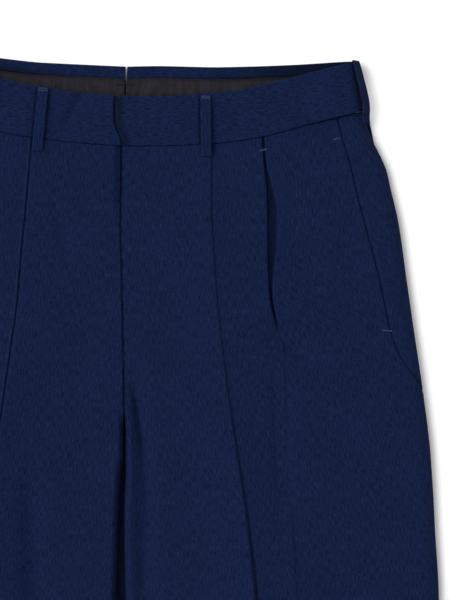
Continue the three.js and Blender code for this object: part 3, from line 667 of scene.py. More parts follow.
def front_grid(leg):
    """The front's points, the painted shade on each, and the column of its crease."""
    w = rows_of(FRONT_ROWS)
    inner = inner_block(leg, w)
    crease = on_front(leg, w, leg.crease(meet(w, leg.crease)) + CREASE_STEPS)
    pleat = pleat_block(leg, w)
    near = np.linspace(0, 1, POINTS.inner_to_crease)[1:-1] ** TOWARDS_INNER_EDGE
    plain_in = on_front(leg, w, lerp(inner[0][:, -1:], crease[0][:, :1], near))
    middle = np.linspace(0, 1, POINTS.crease_to_pleat)[1:-1]
    plain_out = on_front(leg, w, lerp(crease[0][:, -1:], pleat[0][:, :1], middle))
    line = outer_line(leg, w)
    outer = resample(line, np.zeros(len(w)), line.ends, POINTS.outer_front)
    blocks = [inner, plain_in, crease, plain_out, pleat, (outer[0][:, 1:], outer[1][:, 1:])]
    out = np.concatenate([block[0] for block in blocks], axis=1)
    z = np.concatenate([block[1] for block in blocks], axis=1)
    crease_column = inner[0].shape[1] + len(near) + int(np.argmin(np.abs(CREASE_STEPS)))
    # Painted shade at the bottom of the open recess beside the pleat
    painted_shade = np.zeros(out.shape)
    last = sum(block[0].shape[1] for block in blocks[:5])
    opened = smoothstep(pleat_recess(meet(w, pleat_edge)), *RECESS_PAINTED_SHADE_WIDTHS)
    opened = opened * smoothstep(w, *RECESS_PAINTED_SHADE_ROWS)
    across = smoothstep(RECESS_STEPS, *RECESS_PAINTED_SHADE_START)
    across = across * (1 - smoothstep(RECESS_STEPS, *RECESS_PAINTED_SHADE_STOP))
    painted_shade[:, last - len(RECESS_STEPS) : last] = RECESS_PAINTED_SHADE * opened * across
    return lay(leg.sign * out, row_height(w, out), z), painted_shade, crease_column


def facing_grid(leg):
    """The facing shows between the pocket mouth and the side, and drops under the front."""
    w = np.linspace(MOUTH_END[0], WARP_TO, POINTS.facing_rows)[:, None]
    line = outer_line(leg, w)
    out, z, arc = resample(line, line.ends - FACING_UNDER, line.arc[:, -1], POINTS.facing)
    along = np.stack([np.gradient(out, axis=1), np.gradient(z, axis=1)])
    along = along / np.hypot(*along)
    rise = lerp(FACING_RISE_LOW, FACING_RISE_HIGH, smoothstep(w, *TACK_ROWS))
    under = 1 - smoothstep(arc - line.ends[:, None], FACING_RISE_FROM * rise, rise)
    deep = (CLOTH + 2 * SEAM) * under
    out, z = out + along[1] * deep, z - along[0] * deep
    return lay(leg.sign * out, row_height(w, out), z)


def back_grid(leg):
    """The back lies flat under the front; below the fork it reaches to the centre line."""
    top = BACK_TOP_ROW
    w = rows_of(BACK_ROWS)
    seat = lerp(SEAT_FORK, SEAT_TOP, smoothstep(w, 0, top))
    seat = seat - SEAT_ASIDE * smoothstep(-w, 0, SEAT_REACH)
    seat = leg.sign * seat + SEAM / 2
    inside = lerp(inner_edge(leg, w) + BACK_INSIDE, seat, smoothstep(w, *SEAT_LEAVES_ROWS))
    to_seam = smoothstep(w, LIFT_TO, top)
    outside = side(np.where(w < top, w, back_seam(0) + WAIST_NARROWS)) - BACK_INSIDE
    out = lerp(inside, outside, np.linspace(0, 1, POINTS.back))
    v = lerp(w, back_seam(out) - SEAM / 2, to_seam)
    return lay(leg.sign * out, v, floor_lift(v) + CLOTH)


BAND_WAVES = SimpleNamespace(height=0.25, apart=46, reach=20, seed=41)
BAND_END_WIDTH = 12  # the points are closer this far in from the end and its overlap


def band_height(leg, out, v):
    """Height of the front waistband: the left half bends down to its end, over the right one."""
    from_edge = out - leg.sign * leg.inner(v)
    if leg.name == "right":
        dip = BAND_DIP * (1 - smoothstep(from_edge, 0, BAND_DIP_WIDTH))
    else:
        dip = LAP_DIP * (1 - smoothstep(from_edge, 0, LAP_WIDTH))
    soft = ripple(leg, out, BAND_WAVES.apart, BAND_WAVES.seed)
    soft = soft * BAND_WAVES.height * smoothstep(from_edge, 0, BAND_WAVES.reach)
    return BAND_TOP - dip - hollow(BAND_HOLLOWS[leg.name], out, v) + soft


def band_grid(leg):
    """One half of the waistband, from the fly round the side fold to the centre back."""
    share = np.linspace(0, 1, POINTS.band_rows)[:, None]

    def on_line(low, high, out):
        return lerp(low(np.abs(out)) + SEAM / 2, high(np.abs(out)), share)

    turn = side(on_line(front_seam, front_top, WAIST["out"][-1])) - BAND_FOLD
    lap = BAND_UNDERLAP if leg.name == "right" else 0
    end = inner_edge(leg, lerp(*BAND_END_ROWS, share)) - lap
    plain = end + lap + BAND_END_WIDTH
    near = lerp(end, plain, np.linspace(0, 1, POINTS.band_end[leg.name])[:-1])
    far = lerp(plain, turn, np.linspace(0, 1, POINTS.band_front))
    front_out = np.concatenate([near, far], axis=1)
    front_v = on_line(front_seam, front_top, front_out)
    front_z = band_height(leg, front_out, front_v)
    degrees = np.linspace(0, 180, POINTS.band_fold)[1:-1]
    fold_out = turn + BAND_FOLD * np.sin(np.radians(degrees))
    front_line = on_line(front_seam, front_top, fold_out)
    back_line = on_line(back_seam, leg.back_top, fold_out)
    fold_v = lerp(front_line, back_line, smoothstep(degrees, 0, 180))
    top_z = front_z[:, -1:]
    fold_z = BAND_MIDDLE + BAND_HALF * np.cos(np.radians(degrees))
    fold_z = fold_z + (top_z - BAND_TOP) * (1 - smoothstep(degrees, 0, 90))
    split = SEAM / 2 + SPLIT * smoothstep(on_line(back_seam, leg.back_top, 0), *SPLIT_ROWS)
    back_out = lerp(turn, split, np.linspace(0, 1, POINTS.band_back))
    back_v = on_line(back_seam, leg.back_top, back_out)
    back_z = np.full_like(back_out, LOOP_LIFT)
    out = np.concatenate([front_out, fold_out, back_out], axis=1)
    v = np.concatenate([front_v, fold_v, back_v], axis=1)
    z = np.concatenate([front_z, np.broadcast_to(fold_z, fold_v.shape), back_z], axis=1)
    # Painted shade on the side fold under the side loop, on the lap's end and on the back's strip
    fold_painted_shade = FOLD_PAINTED_SHADE * smoothstep(degrees, *FOLD_PAINTED_SHADE_DEGREES)
    fold_painted_shade = np.broadcast_to(fold_painted_shade, fold_out.shape)
    painted_shades = [lap_painted_shade(leg, front_out, front_v), fold_painted_shade, strip_painted_shade(leg, back_out, back_v)]
    return lay(leg.sign * out, v, z), np.concatenate(painted_shades, axis=1)


def lap_painted_shade(leg, out, v):
    """Painted shade on the end of the left half, a little darker."""
    from_edge = out - leg.sign * leg.inner(v)
    return LAP_PAINTED_SHADE * (1 - smoothstep(from_edge, *LAP_PAINTED_SHADE_FADE)) * (leg.name == "left")


def felling_painted_shade(out):
    """Painted shade along the seam between the strip and the curtain, darker away from the middle."""
    return lerp(*FELLING_PAINTED_SHADE, smoothstep(out, *FELLING_PAINTED_SHADE_FROM))


def strip_painted_shade(leg, out, v):
    """Painted shade on the strip that shows of the back: darker outwards under the front's ends, and at
    the curtain's seam.
    """
    below = leg.back_top(out) - v
    front_shadow = STRIP_PAINTED_SHADE[leg.name] * smoothstep(out, *STRIP_PAINTED_SHADE_FROM[leg.name])
    if leg.name == "right":
        front_shadow = front_shadow * smoothstep(below, STRIP_PAINTED_SHADE_BELOW, CURTAIN_BELOW_TOP)
    start, stop = (CURTAIN_BELOW_TOP - above for above in FELLING_PAINTED_SHADE_ABOVE)
    seam = felling_painted_shade(out) * smoothstep(below, start, stop)
    return 1 - (1 - front_shadow) * (1 - seam)


CURTAIN_Z = LOOP_LIFT + BAND + SEAM + LINING

# Folds of the curtain, as places across where it stands up
CURTAIN_FOLDS = {
    "left": table("out width height", (22, 4, 0.8), (47, 3, 1.1), (58, 3, 0.9), (96, 5, 1.0)),
    "right": table("out width height", (33, 6, 1.0), (76, 4, 1.2), (99, 4, 2.0), (112, 5, 1.4)),
}


# Small and wide waves of the curtain, and how far down it is loose
CURTAIN_PUCKERS = SimpleNamespace(height=0.28, apart=5.5, sewn=0.35, seed=61)
CURTAIN_WAVES = SimpleNamespace(height=0.3, apart=26, slant=40, seed=71)
CURTAIN_SLANT = SimpleNamespace(reach=14, apart=60, seed=51)
CURTAIN_LOOSE = (0.02, 0.3)


def curtain_height(leg, out, down):
    """Height of the curtain's outer face, loose and a little crumpled below its sewn top."""
    small, wide, lean = CURTAIN_PUCKERS, CURTAIN_WAVES, CURTAIN_SLANT
    loose = smoothstep(down, *CURTAIN_LOOSE)
    slant = out + lean.reach * down * ripple(leg, out, lean.apart, lean.seed)
    crumpled = small.height * (1 + ripple(leg, slant, small.apart, small.seed))
    crumpled = crumpled * lerp(small.sewn, 1, loose)
    folds = sum(
        height * np.exp(-(((slant - place) / width) ** 2))
        for place, width, height in zip(*CURTAIN_FOLDS[leg.name].values())
    )
    waves = wide.height * (1 + ripple(leg, slant + wide.slant * down, wide.apart, wide.seed))
    return CURTAIN_Z + crumpled + (folds + waves) * loose


def curtain_grid(leg):
    down = np.linspace(1, 0, POINTS.curtain_rows)[:, None]
    split = SEAM / 2 + CURTAIN_SPLIT * (1 - smoothstep(down, *CURTAIN_SPLIT_ENDS))
    out = lerp(split, CURTAIN_END, np.linspace(0, 1, POINTS.curtain))
    v = leg.back_top(out) - CURTAIN_BELOW_TOP - CURTAIN_HEIGHT * down
    # Painted shade along the curtain's top, at the seam under the strip
    seam = felling_painted_shade(out) * (1 - smoothstep(CURTAIN_HEIGHT * down, *FELLING_PAINTED_SHADE_BELOW))
    return lay(leg.sign * out, v, curtain_height(leg, out, down)), seam


# Belt loops: the lower face runs along a path, and the strip is spread and raised from it
LOOP_ACROSS = np.array([-4.5, -3.6, -2.9, -2.3, -1.9, -1.5, -0.8, 0, 0.8, 1.5, 1.9, 2.3, 2.9, 3.6, 4.5])
LOOP_STITCH_ROWS = 1.9  # the two rows of stitching lie this far from the middle
LOOP_CROWN = 0.12
LOOP_GROOVE = SimpleNamespace(deep=0.22, width=0.35)


def loop_profile(across):
    """Upper face of a loop over its lower one: a low crown with two sewn grooves."""
    crown = LOOP_CROWN * (1 - (across / (LOOP_WIDTH / 2)) ** 2)
    from_row = (np.abs(across) - LOOP_STITCH_ROWS) / LOOP_GROOVE.width
    return LOOP + crown - LOOP_GROOVE.deep * np.exp(-(from_row**2))


def loop_grids(u, v, z, wide, up):
    def layer(rise):
        at_u = u + wide[0] * LOOP_ACROSS + up[0] * rise
        return lay(at_u, v, z + wide[1] * LOOP_ACROSS + up[1] * rise)

    return layer(loop_profile(LOOP_ACROSS)), layer(0 * LOOP_ACROSS)


FRONT_LOOPS = {
    "left": SimpleNamespace(top=(68.7, 305.5), foot=(71.3, 253.2)),
    "right": SimpleNamespace(top=(68.8, 307), foot=(72.2, 253.3)),
}
LOOP_GAP = 0.6  # what a front loop stands clear of the waistband at its ends
LOOP_ROUNDNESS = 0.7  # below 1 it rises more steeply at its ends


def front_loop_line(leg, t):
    """Middle of a front loop's lower face at a share of its length."""
    ends = FRONT_LOOPS[leg.name]
    out, v = lerp(ends.top[0], ends.foot[0], t), lerp(ends.top[1], ends.foot[1], t)
    bulge = LOOP_STANDOFF * np.sin(math.pi * t) ** LOOP_ROUNDNESS
    return leg.sign * out, v, BAND_TOP + LOOP_GAP + bulge


# How far a side loop stands off the side fold along its length
SIDE_LOOP = table(
    "v off",
    (286.5, 1.2),
    (292, 1.9),
    (299, 3.8),
    (307, 4.7),
    (315, 4.3),
    (325, 3),
    (334, 1.9),
    (341.2, 0.5),
)
side_loop_off = curve(SIDE_LOOP, "off")


def side_loop_grids(leg):
    """A side loop, laid on the turn of the waistband's fold."""
    round_fold = math.radians(SIDE_LOOP_ANGLE)
    along = np.array([BAND_FOLD * math.cos(round_fold), -BAND_HALF * math.sin(round_fold)])
    along = along / np.hypot(*along)
    away = np.array([-along[1], along[0]])
    v = np.linspace(SIDE_LOOP["v"][0], SIDE_LOOP["v"][-1], POINTS.loop_rows)[:, None]
    middle = lerp(FOLD_CENTRE, BAND_MIDDLE, smoothstep(v, *SIDE_LOOP_FOOT))
    off = side_loop_off(v)
    out = side(v) - BAND_FOLD * (1 - math.sin(round_fold)) + off * away[0]
    z = middle + BAND_HALF * math.cos(round_fold) + off * away[1]
    turned = np.array([leg.sign, 1])
    return loop_grids(leg.sign * out, v, z, along * turned, away * turned)


BACK_LOOP_OUT = 62
BACK_LOOP_FROM = -11  # from the back's seam, where it starts and ends
BACK_LOOP_TO = 41

# Rounding of a wall's edge: distance in from it, in half thicknesses
ROUNDING = (0.0, 0.13, 0.5, 1.0)


def round_edge(outer, inner):
    """Adds rows along the first side, where both faces curve together to meet in the middle."""
    half = 0.5 * np.median(np.linalg.norm((outer - inner)[0, :, :3], axis=-1))
    steps = [grid[1] - grid[0] for grid in (outer, inner)]
    steps = [step / np.linalg.norm(step[:, :3], axis=-1, keepdims=True) for step in steps]
    rows = []
    for share in ROUNDING:
        pair = [grid[0] + step * share * half for grid, step in zip((outer, inner), steps)]
        middle = (pair[0] + pair[1]) / 2
        full = math.sqrt(1 - (1 - share) ** 2)
        rows.append([middle + (face - middle) * full for face in pair])
    return [np.concatenate([[row[i] for row in rows], grid[1:]]) for i, grid in enumerate((outer, inner))]


def rounded(outer, inner):
    """Rounds all four sides of a wall: each is first in turn."""
    for _ in range(4):
        outer, inner = round_edge(outer, inner)
        outer, inner = np.rot90(outer), np.rot90(inner)
    return outer, inner


def tangent(points, axis):
    """Direction of a grid's lines at each point, halfway between the parts before and after."""
    step = np.diff(points, axis=axis)
    step = step / np.linalg.norm(step, axis=-1, keepdims=True)
    first, last = np.take(step, [0], axis), np.take(step, [-1], axis)
    padded = np.concatenate([first, step, last], axis)
    count = points.shape[axis]
    return np.take(padded, range(count), axis) + np.take(padded, range(1, count + 1), axis)


def inset(points, sign, thickness):
    """A grid moved in from its outer face."""
    normal = np.cross(tangent(points, 1), tangent(points, 0)) * sign
    normal = normal / np.linalg.norm(normal, axis=-1, keepdims=True)
    return points - normal * thickness * MM


def lengths(points, axis):
    """How far along its line each point of a grid lies."""
    step = np.linalg.norm(np.diff(points, axis=axis), axis=-1)
    zero = np.zeros_like(np.take(step, [0], axis))
    return np.concatenate([zero, np.cumsum(step, axis)], axis)


def cloth_map(points, column):
    """Places on the flat cloth: across from one column, and along that column."""
    across = lengths(points, 1)
    across = across - across[:, column][:, None]
    along = np.broadcast_to(lengths(points, 0)[:, column][:, None], across.shape)
    return np.stack([across, along], axis=-1)


def shell(name, outer, inner, column, material, painted_shade=0.0):
    """A closed wall between two grids of points, with rounded edges, as an object.

    Its last argument is painted shade: how much darker the cloth's colour is made at each point, where
    shade falls on it.
    """
    places = cloth_map(outer, column)
    painted_shade = np.broadcast_to(painted_shade, outer.shape[:2])[..., None]
    outer, inner = (np.concatenate([grid, places, painted_shade], axis=-1) for grid in (outer, inner))
    outer, inner = rounded(outer, inner)
    rows, columns = outer.shape[:2]
    top = np.arange(rows * columns).reshape(rows, columns)
    below = top + rows * columns
    for edge in (np.s_[0, :], np.s_[-1, :], np.s_[:, 0], np.s_[:, -1]):
        below[edge] = top[edge]
    quads = np.concatenate([grid_quads(top), grid_quads(below)[:, ::-1]])
    used, quads = np.unique(quads, return_inverse=True)
    quads = quads.reshape(-1, 4)
    points = np.concatenate([outer.reshape(-1, 6), inner.reshape(-1, 6)])[used]
    if enclosed_volume(points[:, :3], quads) < 0:
        quads = quads[:, ::-1]
    mesh = bpy.data.meshes.new(name)
    mesh.from_pydata(points[:, :3].tolist(), [], quads.tolist())
    mesh.polygons.foreach_set("use_smooth", [True] * len(mesh.polygons))
    layer = mesh.uv_layers.new(name="cloth")
    layer.data.foreach_set("uv", points[quads.ravel(), 3:5].ravel())
    # Painted shade, which the materials read to darken the cloth's colour
    mesh.attributes.new("painted_shade", "FLOAT", "POINT").data.foreach_set("value", points[:, 5].copy())
    return finished(name, mesh, material)


def grid_quads(number):
    corners = [number[:-1, :-1], number[:-1, 1:], number[1:, 1:], number[1:, :-1]]
    return np.stack(corners, axis=-1).reshape(-1, 4)


def enclosed_volume(points, quads):
    """Signed volume, below 0 where the faces point inwards."""
    a, b, c, d = (points[quads[:, i]] for i in range(4))
    return np.sum(a * np.cross(b, c)) + np.sum(a * np.cross(c, d))


def add_node(tree, kind, inputs, **settings):
    """A node whose inputs are linked where the value is an output, and otherwise set."""
    node = tree.nodes.new(kind)
    for setting, value in settings.items():
        setattr(node, setting, value)
    for key, value in inputs.items():
        if isinstance(value, bpy.types.NodeSocket):
            tree.links.new(value, node.inputs[key])
        else:
            node.inputs[key].default_value = value
    return node.outputs


def finished(name, mesh, material):
    mesh.materials.append(material)
    piece = bpy.data.objects.new(name, mesh)
    bpy.context.scene.collection.objects.link(piece)
    return piece


class Finish:
    """One material's nodes, added one after another."""

    def __init__(self, name):
        self.material = bpy.data.materials.new(name)
        self.material.use_nodes = True
        self.tree = self.material.node_tree
        self.tree.nodes.clear()

    def add(self, kind, inputs, **settings):
        return add_node(self.tree, "ShaderNode" + kind, inputs, **settings)

    def weighted(self, total, *terms):
        """A number plus each value times its weight."""
        for value, weight in terms:
            inputs = {0: value, 1: weight, 2: total}
            total = self.add("Math", inputs, operation="MULTIPLY_ADD")[0]
        return total

    def wave(self, value, length):
        angle = self.add("Math", {0: value, 1: math.tau / length}, operation="MULTIPLY")
        return self.add("Math", {0: angle[0]}, operation="SINE")[0]

    def cloth_place(self):
        """Place on the flat cloth, in metres, and its two parts, across and along."""
        place = self.add("UVMap", {}, uv_map="cloth")[0]
        across, along, _ = self.add("SeparateXYZ", {0: place})
        return place, across, along

    def marks(self, vector, across, along, detail=2.0):
        """Uneven marks of that size in metres, across and along the cloth, about 0.5."""
        scaled = self.add("Mapping", {"Vector": vector, "Scale": (1 / across, 1 / along, 1)})
        inputs = {"Vector": scaled[0], "Scale": 1.0, "Detail": detail}
        return self.add("TexNoise", inputs, noise_dimensions="2D")[0]

    def cloud(self, scale):
        place = self.add("TexCoord", {})["Object"]
        return self.add("TexNoise", {"Vector": place, "Scale": scale, "Detail": 2.0})[0]

    def blend(self, factor, dark, light):
        share = self.add("Clamp", {0: factor})[0]
        inputs = {0: share, 6: (*dark, 1), 7: (*light, 1)}
        return self.add("Mix", inputs, data_type="RGBA")[2]

    def with_painted_shade(self, colour):
        """The colour with painted shade: darker by the piece's own attribute."""
        painted_shade = self.add("Attribute", {}, attribute_name="painted_shade")["Fac"]
        return self.add("Mix", {0: painted_shade, 6: colour, 7: (0, 0, 0, 1)}, data_type="RGBA")[2]

    def between(self, value, low, high):
        return self.add("MapRange", {0: value, 3: low, 4: high})[0]

    def shade(self, colour, height, depth, **sockets):
        """Ends the material with a principled shader, its own constants on its own sockets."""
        bump = self.add("Bump", {"Height": height, "Distance": depth, "Strength": 1.0})
        inputs = {"Base Color": colour, "Normal": bump[0]}
        inputs.update({key.replace("_", " "): value for key, value in sockets.items()})
        shader = self.add("BsdfPrincipled", inputs)
        self.add("OutputMaterial", {"Surface": shader[0]})
        return self.material


# Wool: a plain weave of fine uneven yarn, dark blue
THREAD = 0.00046  # from one thread to the next, in metres
WOOL_DARK = (0.0010, 0.0037, 0.0188)
WOOL_LIGHT = (0.0067, 0.0152, 0.0575)

# Size of the uneven marks that the yarns leave, across and along them, and of wider ones
WARP_MARK = (0.0008, 0.0065)
WEFT_MARK = (0.0050, 0.0009)
SPECKLE = (0.0011, 0.0011)
MOTTLE = (0.035, 0.045)


def wool(name, warp_across):
    """Worsted wool; warp_across is whether the warp runs across the piece, as on a waistband."""
    finish = Finish(name)
    place, across, along = finish.cloth_place()
    sizes = (WEFT_MARK, WARP_MARK) if warp_across else (WARP_MARK, WEFT_MARK)
    warp, weft = (finish.marks(place, *size) for size in sizes)
    speckle = finish.marks(place, *SPECKLE)
    mottle = finish.marks(place, *MOTTLE, detail=3.0)
    over, under = (finish.wave(way, THREAD) for way in (across, along))
    weave = finish.weighted(0.0, (over, under))
    yarn = finish.weighted(0.0, (warp, 1.7), (weft, 0.4))
    tone = finish.weighted(-1.15, (yarn, 1.0), (mottle, 0.2), (weave, 0.12), (speckle, 1.0))
    return finish.shade(
        finish.with_painted_shade(finish.blend(tone, WOOL_DARK, WOOL_LIGHT)),
        finish.weighted(yarn, (weave, 0.5)),
        0.00012,
        Roughness=finish.between(tone, 0.8, 0.92),
        Specular_IOR_Level=0.06,
        Sheen_Weight=0.02,
        Sheen_Roughness=0.4,
        Sheen_Tint=(0.25, 0.4, 0.8, 1),
    )


# Lining: a fine diagonal twill, near black, with its own uneven marks
TWILL = 0.0005
LINING_STREAK = (0.0012, 0.012)
LINING_MOTTLE = (0.007, 0.009)
LINING_DARK = (0.0022, 0.0020, 0.0042)
LINING_LIGHT = (0.0150, 0.0132, 0.0198)


def lining():
    """Waistband curtain: a smooth dark brown-grey twill with a faint stripe."""
    finish = Finish("lining")
    place, across, along = finish.cloth_place()
    twill = finish.wave(finish.weighted(across, (along, 1.0)), TWILL)
    streak = finish.marks(place, *LINING_STREAK)
    mottle = finish.marks(place, *LINING_MOTTLE, detail=3.0)
    tone = finish.weighted(-0.55, (streak, 1.0), (mottle, 1.1), (twill, 0.1))
    return finish.shade(
        finish.with_painted_shade(finish.blend(tone, LINING_DARK, LINING_LIGHT)),
        finish.weighted(streak, (twill, 0.3)),
        0.0001,
        Roughness=finish.between(mottle, 0.5, 0.68),
        Specular_IOR_Level=0.12,
        Sheen_Weight=0.03,
        Sheen_Roughness=0.35,
    )


def thread(name, dark, light):
    """Sewing thread, twisted, with a little gloss."""
    finish = Finish(name)
    twist = finish.cloud(2200.0)
    rough = finish.between(twist, 0.45, 0.7)
    colour = finish.blend(twist, dark, light)
    return finish.shade(colour, twist, 0.00005, Roughness=rough, Specular_IOR_Level=0.15)


def pale_floor():
    finish = Finish("floor")
    cloud = finish.cloud(3.0)
    colour = finish.blend(cloud, (0.89, 0.89, 0.89), (0.91, 0.91, 0.91))
    return finish.shade(colour, cloud, 0.00001, Roughness=0.9, Specular_IOR_Level=0.1)


def socket_of(tree, name):
    """Identifier of a node tree's input, which is how a modifier stores it."""
    for item in tree.interface.items_tree:
        if item.name == name and item.in_out == "INPUT":
            return item.identifier
    raise KeyError(name)


STITCH_HEIGHT = 0.7  # share of a stitch's width


def stitch_tree():
    """Geometry Nodes that lay short threads along every line of a piece.

    Each is Length long and Width thick, Pitch from the next, turned by Turn from the line.
    """
    tree = bpy.data.node_groups.new("stitches", "GeometryNodeTree")
    face = tree.interface
    face.new_socket("Lines", in_out="INPUT", socket_type="NodeSocketGeometry")
    for name in ("Pitch", "Length", "Width", "Turn", "Uneven"):
        face.new_socket(name, in_out="INPUT", socket_type="NodeSocketFloat")
    face.new_socket("Seed", in_out="INPUT", socket_type="NodeSocketInt")
    face.new_socket("Thread", in_out="INPUT", socket_type="NodeSocketMaterial")
    face.new_socket("Stitches", in_out="OUTPUT", socket_type="NodeSocketGeometry")

    def add(kind, inputs, **settings):
        return add_node(tree, kind, inputs, **settings)

    given = add("NodeGroupInput", {})
    lines = add("GeometryNodeMeshToCurve", {"Mesh": given["Lines"]})[0]
    spacing = {"Curve": lines, "Length": given["Pitch"]}
    places = add("GeometryNodeCurveToPoints", spacing, mode="LENGTH")
    facing = add("FunctionNodeAlignRotationToVector", {"Vector": places["Tangent"]}, axis="X")[0]
    turning = {"Rotation": facing, "Axis": (0, 0, 1), "Angle": given["Turn"]}
    turned = add("FunctionNodeRotateEuler", turning, rotation_type="AXIS_ANGLE", space="LOCAL")[0]
    ball = add("GeometryNodeMeshUVSphere", {"Segments": 8, "Rings": 5, "Radius": 0.5})
    smooth = add("GeometryNodeSetShadeSmooth", {0: ball["Mesh"]})[0]
    flat = add("ShaderNodeMath", {0: given["Width"], 1: STITCH_HEIGHT}, operation="MULTIPLY")[0]
    size = add("ShaderNodeCombineXYZ", {"X": given["Length"], "Y": given["Width"], "Z": flat})[0]
    stitch = add("GeometryNodeTransform", {"Geometry": smooth, "Scale": size})[0]
    low, high = (
        add("ShaderNodeMath", {0: 1.0, 1: given["Uneven"]}, operation=way)[0]
        for way in ("SUBTRACT", "ADD")
    )
    spread = {2: low, 3: high, "Seed": given["Seed"]}
    scale = add("FunctionNodeRandomValue", spread, data_type="FLOAT")[1]
    laying = {"Points": places["Points"], "Instance": stitch, "Rotation": turned, "Scale": scale}
    laid = add("GeometryNodeInstanceOnPoints", laying)[0]
    real = add("GeometryNodeRealizeInstances", {0: laid})[0]
    coloured = add("GeometryNodeSetMaterial", {"Geometry": real, "Material": given["Thread"]})[0]
    add("NodeGroupOutput", {0: coloured})
    return tree


def sew(name, tree, lines, material, **sizes):
    """Stitches along lines of points, as one plain mesh."""
    points, edges = [], []
    for line in lines:
        first = len(points)
        points.extend(np.asarray(line).tolist())
        edges.extend((first + i, first + i + 1) for i in range(len(line) - 1))
    mesh = bpy.data.meshes.new(name + "_lines")
    mesh.from_pydata(points, edges, [])
    guide = bpy.data.objects.new(name + "_lines", mesh)
    bpy.context.scene.collection.objects.link(guide)
    modifier = guide.modifiers.new("stitches", "NODES")
    modifier.node_group = tree
    for key, value in {**sizes, "Thread": material}.items():
        modifier[socket_of(tree, key)] = value
    guide.update_tag()
    depsgraph = bpy.context.evaluated_depsgraph_get()
    sewn = bpy.data.meshes.new_from_object(guide.evaluated_get(depsgraph), depsgraph=depsgraph)
    bpy.data.objects.remove(guide)
    sewn.name = name
    sewn.materials.clear()
    return finished(name, sewn, material)


TACK_POINTS = 5


def bar(leg, start, stop, height):
    """A short line between two (out, v) places, on a surface given by height(out, v)."""
    t = np.linspace(0, 1, TACK_POINTS)
    out, v = lerp(start[0], stop[0], t), lerp(start[1], stop[1], t)
    return lay(leg.sign * out, v, height(out, v))


# Bar tacks on a front, from one end to the other
TACKS = {
    "pocket_top": ((178.9, 271.9), (184.1, 273.1)),
    "pocket_foot": ((223.7, 106.7), (232.0, 106.0)),
    "pleat": ((115.9, 259.7), (122.3, 261.4)),
}
TACK_PROUD = 0.15  # height of the thread's middle above the front
LOOP_TACK = 3.4  # half length of the tacks across a loop
LOOP_TACK_AT = (0.02, 0.05)  # shares of the loop's length
LOOP_TACK_PROUD = 0.02


def tack_lines(leg):
    def height(out, v):
        return front_height(leg, out, v) + TACK_PROUD

    return [bar(leg, start, stop, height) for start, stop in TACKS.values()]


def loop_tack_lines(leg):
    """The tack across the top of a front loop; its foot is sewn from inside."""
    lines = []
    across = np.linspace(-LOOP_TACK, LOOP_TACK, TACK_POINTS)
    for t in LOOP_TACK_AT:
        u, v, z = front_loop_line(leg, t)
        lines.append(lay(u + across, v, z + loop_profile(across) + LOOP_TACK_PROUD))
    return lines


# Hand sewing along the curtain's top, and the tack between its ends, with how far down on the
# curtain each lies and how far above it
FELLING = SimpleNamespace(start=4, stop=176, points=120, inside=0.9, down=1.2, proud=0.05)
CENTRE_TACK = SimpleNamespace(v=313, reach=6.5, points=9, down=0.12, proud=0.2)


def felling_line(leg):
    """The curtain's top edge, felled with small slanting stitches."""
    out = np.linspace(FELLING.start, FELLING.stop, FELLING.points)
    v = leg.back_top(out) - CURTAIN_BELOW_TOP - FELLING.inside
    z = curtain_height(leg, out, FELLING.down / CURTAIN_HEIGHT) + FELLING.proud
    return lay(leg.sign * out, v, z)


def centre_tack_line():
    """The tack that holds both curtain ends below the split."""
    left, right = LEGS
    u = np.linspace(-CENTRE_TACK.reach, CENTRE_TACK.reach, CENTRE_TACK.points)
    z = [curtain_height(left if at > 0 else right, abs(at), CENTRE_TACK.down) for at in u]
    return lay(u, CENTRE_TACK.v, np.array(z) + CENTRE_TACK.proud)


# Stitches of each kind of sewing, in metres and radians
TACK_STITCH = dict(Pitch=0.00045, Length=0.0016, Width=0.00042, Turn=math.pi / 2, Uneven=0.12)
LOOP_TACK_STITCH = {**TACK_STITCH, "Length": 0.0011, "Uneven": 0.3}
FELLING_STITCH = dict(
    Pitch=0.0026, Length=0.0022, Width=0.0005, Turn=math.radians(82), Uneven=0.3
)
CENTRE_STITCH = dict(
    Pitch=0.0013, Length=0.0017, Width=0.0006, Turn=math.radians(50), Uneven=0.25
)


def dress(piece, slot, *nodes):
    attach(piece, "root")
    if nodes:
        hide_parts(*nodes)
    return piece


PANEL_WOOL = wool("wool", warp_across=False)
BAND_WOOL = wool("wool_waistband", warp_across=True)
LINING_TWILL = lining()
TACK_THREAD = thread("thread_tack", (0.014, 0.026, 0.075), (0.035, 0.055, 0.13))
DARK_THREAD = thread("thread_dark", (0.002, 0.003, 0.008), (0.006, 0.009, 0.022))


def wall(kind, leg, points, thickness, column, material, painted_shade=0.0, slot="cloth"):
    """One piece of a leg's cloth, in the place of its solid."""
    name = f"{kind}_{leg.name}"
    inside = inset(points, leg.sign, thickness)
    return dress(shell(name + "_cloth", points, inside, column, material, painted_shade), slot, name)


def panels(leg):
    """Front, back and pocket facing of one leg."""
    points, painted_shade, crease_column = front_grid(leg)
    front = wall("front", leg, points, CLOTH, crease_column, PANEL_WOOL, painted_shade)
    back = wall("back", leg, back_grid(leg), CLOTH, POINTS.back // 2, PANEL_WOOL)
    facing = wall("pocket_facing", leg, facing_grid(leg), CLOTH, 0, PANEL_WOOL)
    return front, back, facing


def waist(leg):
    """Waistband and curtain of one leg."""
    points, painted_shade = band_grid(leg)
    band = wall("waistband", leg, points, BAND, 0, BAND_WOOL, painted_shade)
    points, painted_shade = curtain_grid(leg)
    curtain = wall("waist_curtain", leg, points, LINING, 0, LINING_TWILL, painted_shade, "lining")
    return band, curtain


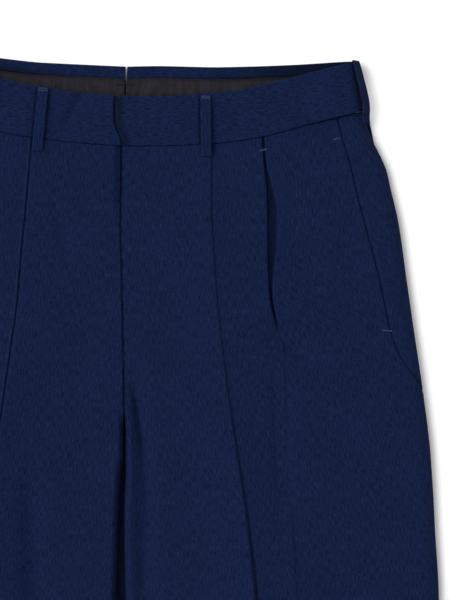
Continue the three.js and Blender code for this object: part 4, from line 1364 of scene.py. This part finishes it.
def belt_loops(leg):
    t = np.linspace(0, 1, POINTS.loop_rows)[:, None]
    above = np.linspace(BACK_LOOP_FROM, BACK_LOOP_TO, POINTS.back_loop_rows)[:, None]
    v = back_seam(BACK_LOOP_OUT) + above
    u = leg.sign * BACK_LOOP_OUT + LOOP_ACROSS
    grids = {
        "front_loop": loop_grids(*front_loop_line(leg, t), (1, 0), (0, 1)),
        "side_loop": side_loop_grids(leg),
        "back_loop": [lay(u, v, z) for z in (LOOP_LIFT - SEAM, 0)],
    }
    loops = []
    for kind, (outer, inner) in grids.items():
        name = f"{kind}_{leg.name}"
        strip = shell(name + "_strip", outer, inner, len(LOOP_ACROSS) // 2, PANEL_WOOL)
        loops.append(dress(strip, "cloth", name))
    return loops


def make_trousers():
    tree = stitch_tree()

    def sewn(name, lines, seed, sizes, material=DARK_THREAD, slot="lining"):
        return dress(sew(name, tree, lines, material, Seed=seed, **sizes), slot)

    for number, leg in enumerate(LEGS):
        front, back, facing = panels(leg)
        band, curtain = waist(leg)
        loops = belt_loops(leg)
        pale = (TACK_THREAD, "cloth")
        tacks = sewn(f"tacks_{leg.name}", tack_lines(leg), number, TACK_STITCH, *pale)
        loop_tacks = sewn(
            f"loop_tacks_{leg.name}", loop_tack_lines(leg), 5 + number, LOOP_TACK_STITCH, *pale
        )
        felling = sewn(f"felling_{leg.name}", [felling_line(leg)], 9 + number, FELLING_STITCH)
    sewn("centre_tack", [centre_tack_line()], 20, CENTRE_STITCH)


FLOOR_REACH = 3.0  # from the middle to each side, in metres


def make_floor():
    mesh = bpy.data.meshes.new("floor")
    corners = [(-1, -1), (1, -1), (1, 1), (-1, 1)]
    corners = [(x * FLOOR_REACH, y * FLOOR_REACH, 0) for x, y in corners]
    mesh.from_pydata(corners, [], [(0, 1, 2, 3)])
    finished("floor", mesh, pale_floor())


# Key light: strength, how wide it looks and its turn about x and y, in degrees
KEY = SimpleNamespace(strength=3.1, width=48, turn=(-8, -41), height=2)
ROOM_LIGHT = 0.7


def make_light():
    """Soft studio light: an even pale room and a wide key light from the left."""
    world = bpy.data.worlds.new("studio")
    world.use_nodes = True
    background = world.node_tree.nodes["Background"]
    background.inputs["Color"].default_value = (1, 1, 1, 1)
    background.inputs["Strength"].default_value = ROOM_LIGHT
    bpy.context.scene.world = world
    data = bpy.data.lights.new("key", "SUN")
    data.energy = KEY.strength
    data.angle = math.radians(KEY.width)
    lamp = bpy.data.objects.new("key", data)
    lamp.location = (0, 0, KEY.height)
    lamp.rotation_euler = (math.radians(KEY.turn[0]), math.radians(KEY.turn[1]), 0)
    bpy.context.scene.collection.objects.link(lamp)
    bpy.context.scene.view_settings.view_transform = "Standard"


make_floor()
make_trousers()
make_light()
